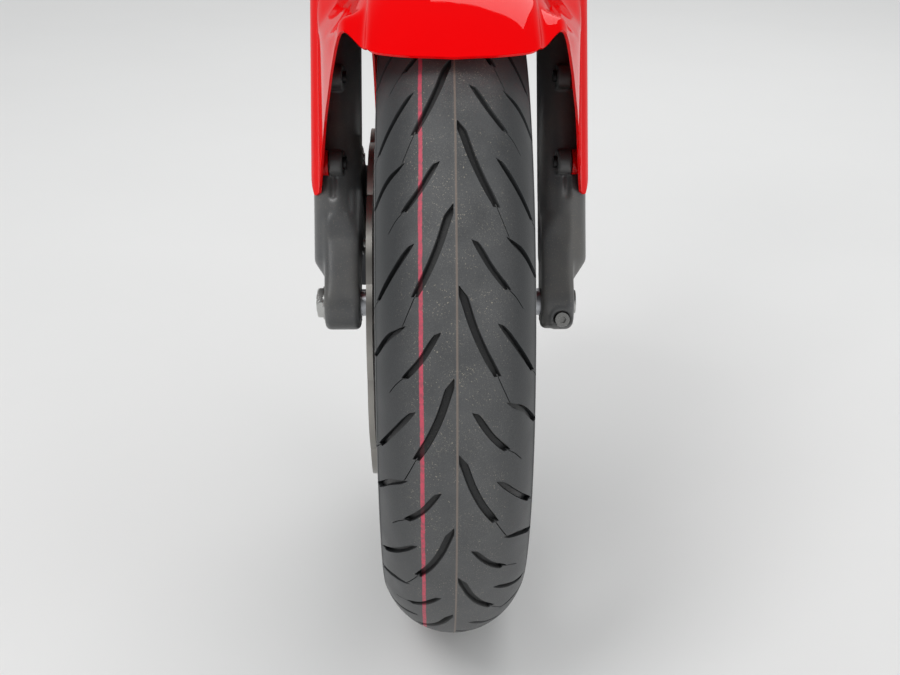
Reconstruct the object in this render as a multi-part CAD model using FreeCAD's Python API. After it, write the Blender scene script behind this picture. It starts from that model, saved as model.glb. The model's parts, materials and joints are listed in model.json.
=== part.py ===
"""Front end of a sport motorcycle: cast front wheel with its tyre and single wave-edged brake disc,
right-way-up telescopic fork, glossy mudguard with side wings that wrap the fork sliders, sliding brake
caliper, both fork yokes and the steering stem with its two bearings.

Row frame: the origin is the middle of the lower steering bearing's outer race, +Z is up, the machine
faces -Y and its left side is +X. The steering axis leans back by the rake angle.

Everything is drawn first in the fork frame: origin on the wheel axle's middle, x sideways (the machine's
left is +x), y towards the rear and z up along the fork legs. The last step turns it into the row frame.
All lengths are millimetres.
"""

import FreeCAD, Part
import math
import os

from FreeCAD import Vector

# Steering geometry
RAKE = 25.5                 # steering axis from the vertical, degrees
FORK_OFFSET = 37.0          # axle ahead of the steering axis
YOKE_OFFSET = 32.0          # fork legs ahead of the steering axis
LEG_SPACING = 208.0         # between the two fork legs' centre lines
AXLE_TO_YOKE = 445.0        # axle to the lower yoke's underside, along the legs
LOWER_YOKE_HEIGHT = 34.0
UPPER_YOKE_HEIGHT = 24.0
STOP_X = 46.0               # steering stops beside the stem
STOP_HEIGHT = 8.0
BEARING_SEAT_GAP = 3.0      # dust seal's room between lower yoke and lower bearing
HEADSTOCK_LENGTH = 180.0    # between the middles of the two steering bearings
YOKE_NUT_ROOM = 14.0        # adjuster nut's room between upper bearing and upper yoke

# Tyre and rim
TYRE_HEIGHT = 81.6          # tread's crown outside the rim's bead seats
TYRE_WIDTH = 120.0
TREAD_EDGE_INSET = 3.0      # tread's edge inside the widest place
TREAD_EDGE_DROP = 36.0      # tread edge lies this much inside the crown
RIM_SEAT_RADIUS = 218.4
RIM_INSIDE_INSET = 15.5     # rim's bead seats inside the tyre's widest place
RIM_FLANGE_HEIGHT = 13.5
RIM_WALL = 4.5
RIM_WELL_DEPTH = 19.0
TYRE_CROWN_WALL = 9.0
TYRE_SIDE_WALL = 6.0
BEAD_GAP = 0.2
SPOKE_PAIRS = 5
SPOKE_SPREAD = 22.0         # degrees between the two spokes of a pair, at the rim
SPOKE_ROOT_SPREAD = 30.0    # degrees between them at the hub
HUB_RADIUS = 34.0
HUB_RIGHT_X = -60.0         # disc side
HUB_LEFT_X = 54.0
VALVE_HOLE_RADIUS = 4.0

# Brake disc
DISC_RADIUS = 160.0
DISC_WAVE = 5.0             # depth of the scallops in the outer edge
DISC_WAVES = 12
DISC_RING_WIDTH = 39.0
DISC_THICKNESS = 5.0
DISC_MIDDLE_X = -68.5
DISC_HOLE_RADIUS = 3.2
CARRIER_THICKNESS = 6.0
CARRIER_OFFSET = 2.0        # carrier's middle plane inside the ring's
CARRIER_BORE_RADIUS = 46.0
CARRIER_ARM_WIDTH = 13.0
CARRIER_BOLTS = 5
CARRIER_BOLT_CIRCLE_RADIUS = 57.0
DISC_BOLT_RADIUS = 3.95
DISC_BOLT_GRIP = 18.0       # depth of its thread in the hub boss
DISC_BOBBINS = 10
BOBBIN_RADIUS = 5.5
BOBBIN_HEAD_RADIUS = 7.2
BOBBIN_HEAD_WIDTH = 1.3
BOBBIN_PLAY = 0.3           # between a bobbin's head and the face beside it
# Rows of drilled holes in the ring: place across it (0 is its inner edge), shift in waves
DISC_HOLE_ROWS = ((0.31, 0.25), (0.5, 0.5), (0.69, 0.75))

# Brake caliper, behind the right slider
CALIPER_ANGLE = -58.0       # its middle, behind the fork legs' direction
CALIPER_SPAN = 46.0         # degrees of the disc that it covers
CALIPER_DEPTH = 43.0        # along the disc's radius
CALIPER_BRIDGE = 11.0       # outside the disc's edge
CALIPER_INSIDE_X = -50.0
CALIPER_OUTSIDE_X = -101.0
PAD_GAP = 0.3
PAD_THICKNESS = 9.0
PAD_DEPTH = 30.5            # along the disc's radius
PISTON_RADIUS = 15.5
PISTON_ANGLES = (-10.0, 10.0)   # the two cylinders, from the caliper's middle
HOSE_PORT_ANGLE = 18.0
HOSE_THREAD_RADIUS = 5.0
CALIPER_LUG_HEIGHTS = (58.0, 140.0)
CALIPER_LUG_RADIUS = 10.0
CALIPER_LUG_INSET = 14.5    # lug's inner face inboard of the leg's centre line
CALIPER_LUG_WIDTH = 12.0
CALIPER_LUG_Y = 40.0

# Axle
AXLE_RADIUS = 8.5
AXLE_HEAD_RADIUS = 11.0
AXLE_RUNNING_GAP = 0.05
COLLAR_RADIUS = 12.5
BEARING_RADIUS = 20.0
BEARING_WIDTH = 12.0
BEARING_DEPTH = 6.0         # bearings inside the hub's ends
HUB_SEAL_WIDTH = 4.5
NUT_FLATS = 27.0
NUT_WIDTH = 7.0
NUT_WASHER = 1.6
AXLE_SOCKET_FLATS = 14.0
RUN_GAP = 0.3               # between a turning face and a fixed one

# Fork legs
TUBE_RADIUS = 18.5
TUBE_WALL = 2.2
SLIDER_RADIUS = 22.5
SLIDER_COLLAR_RADIUS = 25.5
SLIDER_COLLAR_HEIGHT = 17.0
SLIDER_COLLAR_BLEND = 5.0
SLIDER_TOP = 320.0          # above the axle
SLIDER_TAPER_TOP = 38.0     # where the cylinder starts to taper into the foot, above the axle
SLIDER_TAPER_HEIGHT = 19.0
SLIDER_TAPER_RADIUS = 10.0  # at the taper's lower end
SLIDER_BORE_GAP = 0.1
SEAL_HEIGHT = 11.0
FOOT_INSET = 1.5            # foot's inner face outboard of the slider's
FOOT_RIGHT_WIDTH = 33.0
FOOT_LEFT_WIDTH = 30.0
FOOT_TOP = 84.0             # where the foot's corners end in the cylinder, above the axle
FOOT_FRONT_TOP = 60.0       # where its sloping front meets the cylinder
FOOT_CORNER_SLOPE = 0.26    # how fast they leave the cylinder below that
FOOT_EDGE = 5.0             # rounded vertical edges
FOOT_RADIUS = 25.0          # foot's round end below the axle
FOOT_SLIT = 2.0
TUBE_STAND = 42.0           # tube that stands above the upper yoke, for a clip-on handlebar
TUBE_GROOVE_START = 0.5     # groove that marks the handlebar seat's lower end, above the yoke
TUBE_GROOVE_WIDTH = 1.5
TUBE_GROOVE_DEPTH = 0.8
TUBE_FOOT = 90.0            # tube's lower end above the axle
CAP_HEIGHT = 7.0
EAR_DROPS = (190.0, 112.0)  # mudguard ears inside the mudguard's outer radius
EAR_WIDTH = 13.0
EAR_REACH = 17.0            # ahead of the slider's surface
EAR_RADIUS = 11.0
EAR_HOLE_RADIUS = 3.2
EAR_POCKET_WIDTH = 5.6      # slot in the casting below the lower ear
EAR_POCKET_DEPTH = 2.6
EAR_POCKET_LENGTH = 30.0    # from the ear's middle to the slot's round end
PINCH_DROP = 17.0           # pinch bolt below the axle
PINCH_INSET = 11.5          # and inside the foot's outer face
PINCH_BOSS_RADIUS = 11.0
PINCH_BOLT_RADIUS = 4.0
PINCH_HEAD_RADIUS = 6.5

# Mudguard
GUARD_WALL = 2.2
GUARD_GAP = 14.8            # tyre crown to the mudguard's inside
GUARD_HALF_WIDTH = 76.0
GUARD_CROWN_DROP = 5.5      # crown's edge below its middle
GUARD_SHOULDER_RADIUS = 26.0
GUARD_SIDE_DEPTH = 46.0     # side walls behind the legs
GUARD_FRONT_ANGLE = 56.6    # from the fork legs' direction, forwards
GUARD_REAR_ANGLE = 62.0
COLLAR_ROOM = 2.0           # between a slider's collar and the mudguard's cut-out for it
WING_STEP = 11.0            # between the wing's sections
WING_LAP = 3.0              # how far the wing runs into the crown
WING_RIDGE_RADIUS = 8.0
WING_LEAST_SKIRT = 9.0
SLEEVE_GAP = 0.3            # slider to the inside of the sleeve round its outer half
SLEEVE_FRONT = 14.0         # the sleeve starts this far ahead of the axle
SLEEVE_REAR = 27.0          # and ends this far behind it
SLEEVE_STEP = 5.5
SLEEVE_TOP_DROP = 29.0
SKIRT_TIP_FRONT = 9.0       # skirt's lowest point ahead of the axle
SKIRT_TIP_DROP = 219.0      # and inside the mudguard's outer radius
SKIRT_FRONT_SLOPE = 0.49    # how fast its edge climbs forwards
SKIRT_REAR_SLOPE = 1.75     # and rearwards
BOSS_RADIUS = 11.5          # mudguard's bosses beside the sliders' ears
BOSS_HOLE_END = 2.5         # their blind holes end this far inside the skirt's outer face
SCREW_RADIUS = 2.95
SCREW_HEAD_RADIUS = 5.5
SCREW_HEAD_HEIGHT = 3.6
SCREW_SOCKET_FLATS = 4.0
# Front lip seen square to the crown: half width, how far behind the lip's middle
LIP = ((0.0, 0.0), (25.0, 2.6), (40.0, 6.2), (51.0, 10.5), (58.0, 14.6), (62.0, 19.0), (66.0, 26.0), (70.0, 35.0),
       (75.0, 46.5), (79.0, 52.5), (83.0, 54.8), (90.0, 52.5), (97.0, 50.0), (125.0, 48.0))
# Wing, front to back: place behind the axle, ridge's half width, ridge below the crown's radius, half width at
# the lower edge, how far the roof between crown and ridge bulges
WING = (
    (-224.0, 82.0, 24.0, 85.0, 0.0),
    (-200.0, 88.0, 21.0, 92.0, -1.5),
    (-188.0, 91.0, 31.0, 94.5, -3.0),
    (-160.0, 99.5, 51.0, 99.7, -4.0),
    (-120.0, 108.0, 67.0, 106.5, -3.0),
    (-60.0, 116.0, 67.0, 114.3, 2.0),
    (-30.0, 119.6, 48.0, 118.2, 6.0),
    (-14.0, 120.4, 34.0, 120.4, 7.0),
)

# Steering stem and bearings
STEM_RADIUS = 13.0
STEM_SEAT_RADIUS = 15.0
STEM_BORE_RADIUS = 9.0
LOWER_RACE_RADIUS = 27.5
UPPER_RACE_RADIUS = 23.5
RACE_WIDTH = 13.0
RACE_WALL = 5.0
CONE_GAP = 0.1

# Places that follow from the sizes above
LEG_X = LEG_SPACING / 2
LEG_Y = FORK_OFFSET - YOKE_OFFSET       # legs' centre lines behind the axle
STEER_Y = FORK_OFFSET
LOWER_YOKE_BOTTOM = AXLE_TO_YOKE
LOWER_YOKE_TOP = LOWER_YOKE_BOTTOM + LOWER_YOKE_HEIGHT
LOWER_RACE_Z = LOWER_YOKE_TOP + BEARING_SEAT_GAP + RACE_WIDTH / 2
UPPER_RACE_Z = LOWER_RACE_Z + HEADSTOCK_LENGTH
UPPER_YOKE_BOTTOM = UPPER_RACE_Z + RACE_WIDTH / 2 + YOKE_NUT_ROOM
UPPER_YOKE_TOP = UPPER_YOKE_BOTTOM + UPPER_YOKE_HEIGHT
TUBE_TOP = UPPER_YOKE_TOP + TUBE_STAND
FOOT_INNER_X = LEG_X - SLIDER_RADIUS + FOOT_INSET
FOOT_RIGHT_X = FOOT_INNER_X + FOOT_RIGHT_WIDTH
FOOT_LEFT_X = FOOT_INNER_X + FOOT_LEFT_WIDTH
EAR_INNER_X = LEG_X - EAR_WIDTH / 2
PINCH_X = FOOT_LEFT_X - PINCH_INSET
TREAD_EDGE_X = TYRE_WIDTH / 2 - TREAD_EDGE_INSET
RIM_INSIDE_WIDTH = TYRE_WIDTH - 2 * RIM_INSIDE_INSET
BEARING_RIGHT_X = HUB_RIGHT_X + BEARING_DEPTH
BEARING_LEFT_X = HUB_LEFT_X - BEARING_DEPTH - BEARING_WIDTH
EAR_Y = LEG_Y - SLIDER_RADIUS - EAR_REACH + EAR_RADIUS
TYRE_RADIUS = RIM_SEAT_RADIUS + TYRE_HEIGHT
GUARD_RADIUS = TYRE_RADIUS + GUARD_GAP + GUARD_WALL
EAR_HEIGHTS = tuple(GUARD_RADIUS - drop for drop in EAR_DROPS)
SKIRT_TIP_HEIGHT = GUARD_RADIUS - SKIRT_TIP_DROP
SLEEVE_RADIUS = SLIDER_RADIUS + SLEEVE_GAP + GUARD_WALL
EAR_OUTER_X = EAR_INNER_X + EAR_WIDTH
DISC_INNER_RADIUS = DISC_RADIUS - DISC_RING_WIDTH
BOBBIN_CIRCLE_RADIUS = DISC_INNER_RADIUS - 2.0
CALIPER_OUTER_RADIUS = DISC_RADIUS + CALIPER_BRIDGE
CALIPER_INNER_RADIUS = CALIPER_OUTER_RADIUS - CALIPER_DEPTH
PAD_OUTER_RADIUS = DISC_RADIUS - 1.0
PAD_INNER_RADIUS = PAD_OUTER_RADIUS - PAD_DEPTH
PISTON_CIRCLE_RADIUS = (PAD_INNER_RADIUS + DISC_RADIUS + 7.0) / 2
HOSE_PORT_CIRCLE_RADIUS = DISC_RADIUS - 2.0
CALIPER_LUG_X = LEG_X - CALIPER_LUG_INSET
DISC_OUTER_X = DISC_MIDDLE_X - DISC_THICKNESS / 2
DISC_INSIDE_X = DISC_MIDDLE_X + DISC_THICKNESS / 2
CARRIER_OUTER_X = DISC_MIDDLE_X + CARRIER_OFFSET - CARRIER_THICKNESS / 2
CARRIER_INSIDE_X = CARRIER_OUTER_X + CARRIER_THICKNESS
HALF_SPOKE_STEP = 180.0 / SPOKE_PAIRS    # from a pair of spokes to the middle of the window beside it

X_AXIS = Vector(1, 0, 0)
Y_AXIS = Vector(0, 1, 0)
Z_AXIS = Vector(0, 0, 1)
ORIGIN = Vector(0, 0, 0)


# Small helpers

def line(a, b):
    return Part.LineSegment(Vector(*a), Vector(*b)).toShape()


def arc(a, middle, b):
    return Part.Arc(Vector(*a), Vector(*middle), Vector(*b)).toShape()


def curve(points):
    """Smooth curve through a few points."""
    spline = Part.BSplineCurve()
    spline.interpolate([Vector(*p) for p in points])
    return spline.toShape()


def face(edges):
    return Part.Face(Part.Wire(Part.__sortEdges__(edges)))


def polygon(points):
    return Part.makePolygon([Vector(*p) for p in list(points) + [points[0]]])


def rod_x(radius, x0, x1, y=0.0, z=0.0):
    """Cylinder along x between two places."""
    return Part.makeCylinder(radius, x1 - x0, Vector(x0, y, z), X_AXIS)


def rod_y(radius, y0, y1, x=0.0, z=0.0):
    return Part.makeCylinder(radius, y1 - y0, Vector(x, y0, z), Y_AXIS)


def rod_z(radius, z0, z1, x=0.0, y=0.0):
    return Part.makeCylinder(radius, z1 - z0, Vector(x, y, z0), Z_AXIS)


def hexagon_x(flats, x0, x1, y=0.0, z=0.0):
    """Hexagonal prism along x."""
    r = flats / math.sqrt(3)
    points = [
        (x0, y + r * math.cos(math.radians(60 * k)), z + r * math.sin(math.radians(60 * k)))
        for k in range(6)
    ]
    return Part.Face(polygon(points)).extrude(Vector(x1 - x0, 0, 0))


def box(x0, x1, y0, y1, z0, z1):
    return Part.makeBox(x1 - x0, y1 - y0, z1 - z0, Vector(x0, y0, z0))


def turned(shape, degrees, axis=X_AXIS, centre=ORIGIN):
    copy = shape.copy()
    copy.rotate(centre, axis, degrees)
    return copy


def mirrored(shape):
    return shape.mirror(ORIGIN, X_AXIS)


def fused(shapes):
    shapes = list(shapes)
    result = shapes[0]
    if len(shapes) > 1:
        result = result.multiFuse(shapes[1:])
    return result.removeSplitter()


def around(shape, count, start=0.0):
    """Copies of shape spread evenly round the wheel axis."""
    return [turned(shape, start + 360.0 / count * k) for k in range(count)]


def revolved(edges):
    """Solid made by turning a closed outline, drawn in x and z, once round the wheel axis."""
    return face(edges).revolve(ORIGIN, X_AXIS, 360)


# Wheel

def circle_centre(a, b, c):
    """Centre of the circle through three points of the x-z plane."""
    return arc(a, b, c).Curve.Center


def tyre():
    """Hollow tyre: round crown, bulged side walls and thick beads."""
    edge_r = TYRE_RADIUS - TREAD_EDGE_DROP
    bead_r = RIM_SEAT_RADIUS + BEAD_GAP
    bead_x = RIM_INSIDE_WIDTH / 2 - BEAD_GAP
    heel_r = RIM_SEAT_RADIUS + RIM_FLANGE_HEIGHT + 1.5
    half = TYRE_WIDTH / 2
    edges = [
        arc((-TREAD_EDGE_X, 0, edge_r), (0, 0, TYRE_RADIUS), (TREAD_EDGE_X, 0, edge_r)),
    ]
    inside = []
    for s in (-1, 1):
        edge = (s * TREAD_EDGE_X, 0, edge_r)
        bulge = (s * half, 0, bead_r + 0.45 * (TYRE_RADIUS - bead_r))
        foot = (s * (bead_x + 8.0), 0, heel_r + 4.0)
        heel = (s * bead_x, 0, heel_r)
        centre = circle_centre(edge, bulge, foot)
        radius = (Vector(*bulge) - centre).Length
        share = (radius - TYRE_SIDE_WALL) / radius
        inner_edge, inner_bulge, inner_foot = (centre + (Vector(*p) - centre) * share for p in (edge, bulge, foot))
        toe = (s * (bead_x - 12.0), 0, bead_r)
        inner_heel = (s * (bead_x - 8.0), 0, heel_r)
        edges += [
            arc(edge, bulge, foot),
            line(foot, heel),
            line(heel, (s * bead_x, 0, bead_r)),
            line((s * bead_x, 0, bead_r), toe),
            line(toe, inner_heel),
            line(inner_heel, inner_foot),
            arc(inner_foot, inner_bulge, inner_edge),
        ]
        inside.append(inner_edge)
    edges.append(arc(inside[0], (0, 0, TYRE_RADIUS - TYRE_CROWN_WALL), inside[1]))
    return revolved(edges)


def rim():
    """Cast wheel: barrel with flanges and well, five pairs of spokes and the hub."""
    seat = RIM_SEAT_RADIUS
    half = RIM_INSIDE_WIDTH / 2
    lip = half + 6.0
    well = seat - RIM_WELL_DEPTH
    inside = well - RIM_WALL
    outline = [
        (-lip, seat + RIM_FLANGE_HEIGHT - 3.0), (-lip + 2.0, seat + RIM_FLANGE_HEIGHT),
        (-half, seat + RIM_FLANGE_HEIGHT - 1.5), (-half, seat), (-half + 17.0, seat),
        (-half + 25.0, well), (half - 25.0, well), (half - 17.0, seat), (half, seat),
        (half, seat + RIM_FLANGE_HEIGHT - 1.5), (lip - 2.0, seat + RIM_FLANGE_HEIGHT),
        (lip, seat + RIM_FLANGE_HEIGHT - 3.0), (half - 4.0, seat - RIM_WALL - 1.0),
        (half - 16.0, seat - RIM_WALL - 1.0), (half - 24.0, inside), (-half + 24.0, inside),
        (-half + 16.0, seat - RIM_WALL - 1.0), (-half + 4.0, seat - RIM_WALL - 1.0),
    ]
    barrel = Part.Face(polygon([(x, 0, z) for x, z in outline])).revolve(ORIGIN, X_AXIS, 360)

    def section(radius, width, depth, degrees):
        """Spoke section at a radius: width round the wheel, depth along x, corners rounded."""
        w, d, c = width / 2, depth / 2, min(width, depth) * 0.32
        points = [(-d + c, -w), (d - c, -w), (d, -w + c), (d, w - c), (d - c, w), (-d + c, w), (-d, w - c),
                  (-d, -w + c)]
        wire = polygon([(x, y, radius) for x, y in points])
        return turned(wire, degrees)

    spokes = []
    for side in (-1, 1):
        spoke = Part.makeLoft([
            section(HUB_RADIUS - 8.0, 22.0, 46.0, side * SPOKE_ROOT_SPREAD / 2),
            section(inside * 0.55, 16.0, 30.0, side * (SPOKE_ROOT_SPREAD + SPOKE_SPREAD) / 4),
            section(inside + 1.5, 18.0, 26.0, side * SPOKE_SPREAD / 2),
        ], True, True)
        spokes += around(spoke, SPOKE_PAIRS)

    hub = [
        rod_x(HUB_RADIUS, HUB_RIGHT_X + 4.0, HUB_LEFT_X - 4.0),
        rod_x(27.0, HUB_RIGHT_X, HUB_LEFT_X),
    ]
    flange_x = CARRIER_INSIDE_X + 0.05
    bosses = around(
        rod_x(9.5, flange_x, -20.0, z=CARRIER_BOLT_CIRCLE_RADIUS).fuse(
            box(HUB_RIGHT_X + 4.0, -24.0, -7.0, 7.0, HUB_RADIUS - 10.0, CARRIER_BOLT_CIRCLE_RADIUS)),
        CARRIER_BOLTS, HALF_SPOKE_STEP)
    wheel = fused([barrel] + spokes + hub + bosses)
    bore = [
        rod_x(BEARING_RADIUS + 1.0, HUB_RIGHT_X - 1.0, BEARING_RIGHT_X),
        rod_x(BEARING_RADIUS, BEARING_RIGHT_X - 1.0, BEARING_RIGHT_X + BEARING_WIDTH),
        rod_x(15.0, HUB_RIGHT_X, HUB_LEFT_X),
        rod_x(BEARING_RADIUS, BEARING_LEFT_X, BEARING_LEFT_X + BEARING_WIDTH + 1.0),
        rod_x(BEARING_RADIUS + 1.0, BEARING_LEFT_X + BEARING_WIDTH, HUB_LEFT_X + 1.0),
    ]
    threads = around(rod_x(DISC_BOLT_RADIUS + 0.05, flange_x - 1.0, flange_x + DISC_BOLT_GRIP + 4.0,
                           z=CARRIER_BOLT_CIRCLE_RADIUS), CARRIER_BOLTS, HALF_SPOKE_STEP)
    valve_hole = turned(rod_z(VALVE_HOLE_RADIUS, inside - 5.0, seat + 5.0), 180)
    return wheel.cut(Part.makeCompound(bore + threads + [valve_hole]))


def brake_disc():
    """Friction ring: scalloped outer edge, drilled face."""
    period = 360.0 / DISC_WAVES
    edges = []
    for k in range(DISC_WAVES):
        a0, a1, a2 = (math.radians(period * (k + s)) for s in (0.0, 0.5, 1.0))
        low = DISC_RADIUS - DISC_WAVE
        edges.append(arc(
            (DISC_OUTER_X, low * math.sin(a0), low * math.cos(a0)),
            (DISC_OUTER_X, DISC_RADIUS * math.sin(a1), DISC_RADIUS * math.cos(a1)),
            (DISC_OUTER_X, low * math.sin(a2), low * math.cos(a2))))
    plate = face(edges).extrude(Vector(DISC_THICKNESS, 0, 0))
    holes = [rod_x(DISC_INNER_RADIUS, DISC_OUTER_X - 1, DISC_INSIDE_X + 1)]
    for place, shift in DISC_HOLE_ROWS:
        radius = DISC_INNER_RADIUS + place * DISC_RING_WIDTH
        holes += around(rod_x(DISC_HOLE_RADIUS, DISC_OUTER_X - 1, DISC_INSIDE_X + 1, z=radius), DISC_WAVES,
                        period * shift)
    holes += around(rod_x(BOBBIN_RADIUS, DISC_OUTER_X - 1, DISC_INSIDE_X + 1, z=BOBBIN_CIRCLE_RADIUS), DISC_BOBBINS)
    return plate.cut(Part.makeCompound(holes))


def disc_carrier():
    """Inner part of the disc, with an arm to each bobbin."""
    x0, x1 = CARRIER_OUTER_X, CARRIER_INSIDE_X
    ring = rod_x(CARRIER_BOLT_CIRCLE_RADIUS + 12.0, x0, x1)
    outer = rod_x(DISC_INNER_RADIUS - 1.0, x0, x1).cut(rod_x(DISC_INNER_RADIUS - 15.0, x0, x1))
    half = CARRIER_ARM_WIDTH / 2
    arms = around(box(x0, x1, -half, half, CARRIER_BOLT_CIRCLE_RADIUS, DISC_INNER_RADIUS - 6.0), DISC_BOBBINS)
    body = fused([ring, outer] + arms)
    holes = [rod_x(CARRIER_BORE_RADIUS, x0 - 1, x1 + 1)]
    holes += around(rod_x(BOBBIN_RADIUS, x0 - 1, x1 + 1, z=BOBBIN_CIRCLE_RADIUS), DISC_BOBBINS)
    holes += around(rod_x(DISC_BOLT_RADIUS + 0.35, x0 - 1, x1 + 1, z=CARRIER_BOLT_CIRCLE_RADIUS), CARRIER_BOLTS,
                    HALF_SPOKE_STEP)
    return body.cut(Part.makeCompound(holes))


def disc_bobbins():
    """Hollow pins that join the ring to its carrier, with a head on each face."""
    outer = DISC_OUTER_X - BOBBIN_PLAY
    inner = CARRIER_INSIDE_X + BOBBIN_PLAY
    pin = rod_x(BOBBIN_RADIUS - 0.05, outer - BOBBIN_HEAD_WIDTH, inner + BOBBIN_HEAD_WIDTH)
    heads = [
        rod_x(BOBBIN_HEAD_RADIUS, outer - BOBBIN_HEAD_WIDTH, outer),
        rod_x(BOBBIN_HEAD_RADIUS, inner, inner + BOBBIN_HEAD_WIDTH),
    ]
    one = fused([pin] + heads).cut(rod_x(BOBBIN_RADIUS / 2, outer - 3, inner + 3))
    one.translate(Vector(0, 0, BOBBIN_CIRCLE_RADIUS))
    return Part.makeCompound(around(one, DISC_BOBBINS))


def disc_bolts():
    """Button-head bolts through the carrier into the hub bosses."""
    x0 = CARRIER_OUTER_X
    head = Part.makeCone(5.0, 7.5, 3.5, Vector(x0 - 3.5, 0, 0), X_AXIS)
    shank = rod_x(DISC_BOLT_RADIUS, x0 - 1.0, x0 + CARRIER_THICKNESS + DISC_BOLT_GRIP)
    one = fused([head, shank]).cut(hexagon_x(5.0, x0 - 5.0, x0 - 1.5))
    one.translate(Vector(0, 0, CARRIER_BOLT_CIRCLE_RADIUS))
    return Part.makeCompound(around(one, CARRIER_BOLTS, HALF_SPOKE_STEP))


def wheel_bearing(x0):
    ring = rod_x(BEARING_RADIUS - 0.02, x0, x0 + BEARING_WIDTH)
    groove = rod_x(17.0, x0 - 1, x0 + 0.8).cut(rod_x(12.0, x0 - 1, x0 + 0.8))
    other = groove.copy()
    other.translate(Vector(BEARING_WIDTH + 0.2, 0, 0))
    return ring.cut(Part.makeCompound([
        rod_x(AXLE_RADIUS + AXLE_RUNNING_GAP, x0 - 1, x0 + BEARING_WIDTH + 1), groove, other]))


def hub_seal(x0):
    x1 = x0 + HUB_SEAL_WIDTH
    return rod_x(BEARING_RADIUS + 0.95, x0, x1).cut(rod_x(COLLAR_RADIUS + RUN_GAP, x0 - 1, x1 + 1))


def valve():
    """Snap-in valve stem, standing inwards from the rim's well at the wheel's lowest point."""
    well = RIM_SEAT_RADIUS - RIM_WELL_DEPTH
    inside = well - RIM_WALL
    stem = fused([
        rod_z(VALVE_HOLE_RADIUS - 0.1, inside - 8.0, well + 1.0),
        rod_z(6.5, inside - 5.0, inside - 0.3),
        rod_z(7.0, well + 0.3, well + 3.0),
        rod_z(2.6, inside - 24.0, inside - 7.0),
        rod_z(3.9, inside - 33.0, inside - 22.0),
    ])
    return turned(stem, 180)


# Axle and what it clamps

def axle():
    shaft = rod_x(AXLE_RADIUS, -FOOT_RIGHT_X - NUT_WIDTH - 1.0, FOOT_INNER_X)
    head = rod_x(AXLE_HEAD_RADIUS, FOOT_INNER_X, FOOT_LEFT_X + 2.5)
    socket = hexagon_x(AXLE_SOCKET_FLATS, FOOT_LEFT_X - 12.0, FOOT_LEFT_X + 4.0)
    return fused([shaft, head]).cut(socket)


def axle_nut():
    x0 = -FOOT_RIGHT_X - NUT_WIDTH
    nut = hexagon_x(NUT_FLATS, x0, x0 + NUT_WIDTH - NUT_WASHER).common(
        Part.makeCone(NUT_FLATS / 2 - 0.5, NUT_FLATS / 2 + NUT_WIDTH, NUT_WIDTH, Vector(x0, 0, 0), X_AXIS))
    washer = rod_x(NUT_FLATS / 2 + 2.0, x0 + NUT_WIDTH - NUT_WASHER, x0 + NUT_WIDTH)
    return fused([nut, washer]).cut(rod_x(AXLE_RADIUS, x0 - 1, x0 + NUT_WIDTH + 1))


def collar(x0, x1):
    return rod_x(COLLAR_RADIUS, x0, x1).cut(rod_x(AXLE_RADIUS, x0 - 1, x1 + 1))


# Fork legs

def foot(width):
    """Flat-sided foot round the axle; its corners grow out of the cylinder above."""
    x0, x1 = FOOT_INNER_X, FOOT_INNER_X + width
    r = FOOT_RADIUS
    back, front = LEG_Y + SLIDER_RADIUS, LEG_Y - SLIDER_RADIUS
    bend = math.atan2(FOOT_FRONT_TOP, front) + math.acos(r / math.hypot(front, FOOT_FRONT_TOP))
    tangent = (x0, r * math.cos(bend), r * math.sin(bend))
    outline = face([
        arc((x0, r, 0), (x0, 0, -r), tangent),
        line(tangent, (x0, front, FOOT_FRONT_TOP)),
        line((x0, front, FOOT_FRONT_TOP), (x0, front, FOOT_TOP)),
        line((x0, front, FOOT_TOP), (x0, back, FOOT_TOP)),
        line((x0, back, FOOT_TOP), (x0, r, 0)),
    ])
    block = outline.extrude(Vector(x1 - x0, 0, 0))
    corners = [e for e in block.Edges if e.BoundBox.XLength < 0.01 and e.BoundBox.ZMin < FOOT_FRONT_TOP - 1.0]
    block = block.makeFillet(FOOT_EDGE, corners)
    height = FOOT_TOP + FOOT_RADIUS + 1.0
    cone = Part.makeCone(SLIDER_RADIUS + FOOT_CORNER_SLOPE * height, SLIDER_RADIUS - 0.2, height,
                         Vector(LEG_X, LEG_Y, FOOT_TOP - height), Z_AXIS)
    return block.common(cone)


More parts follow.
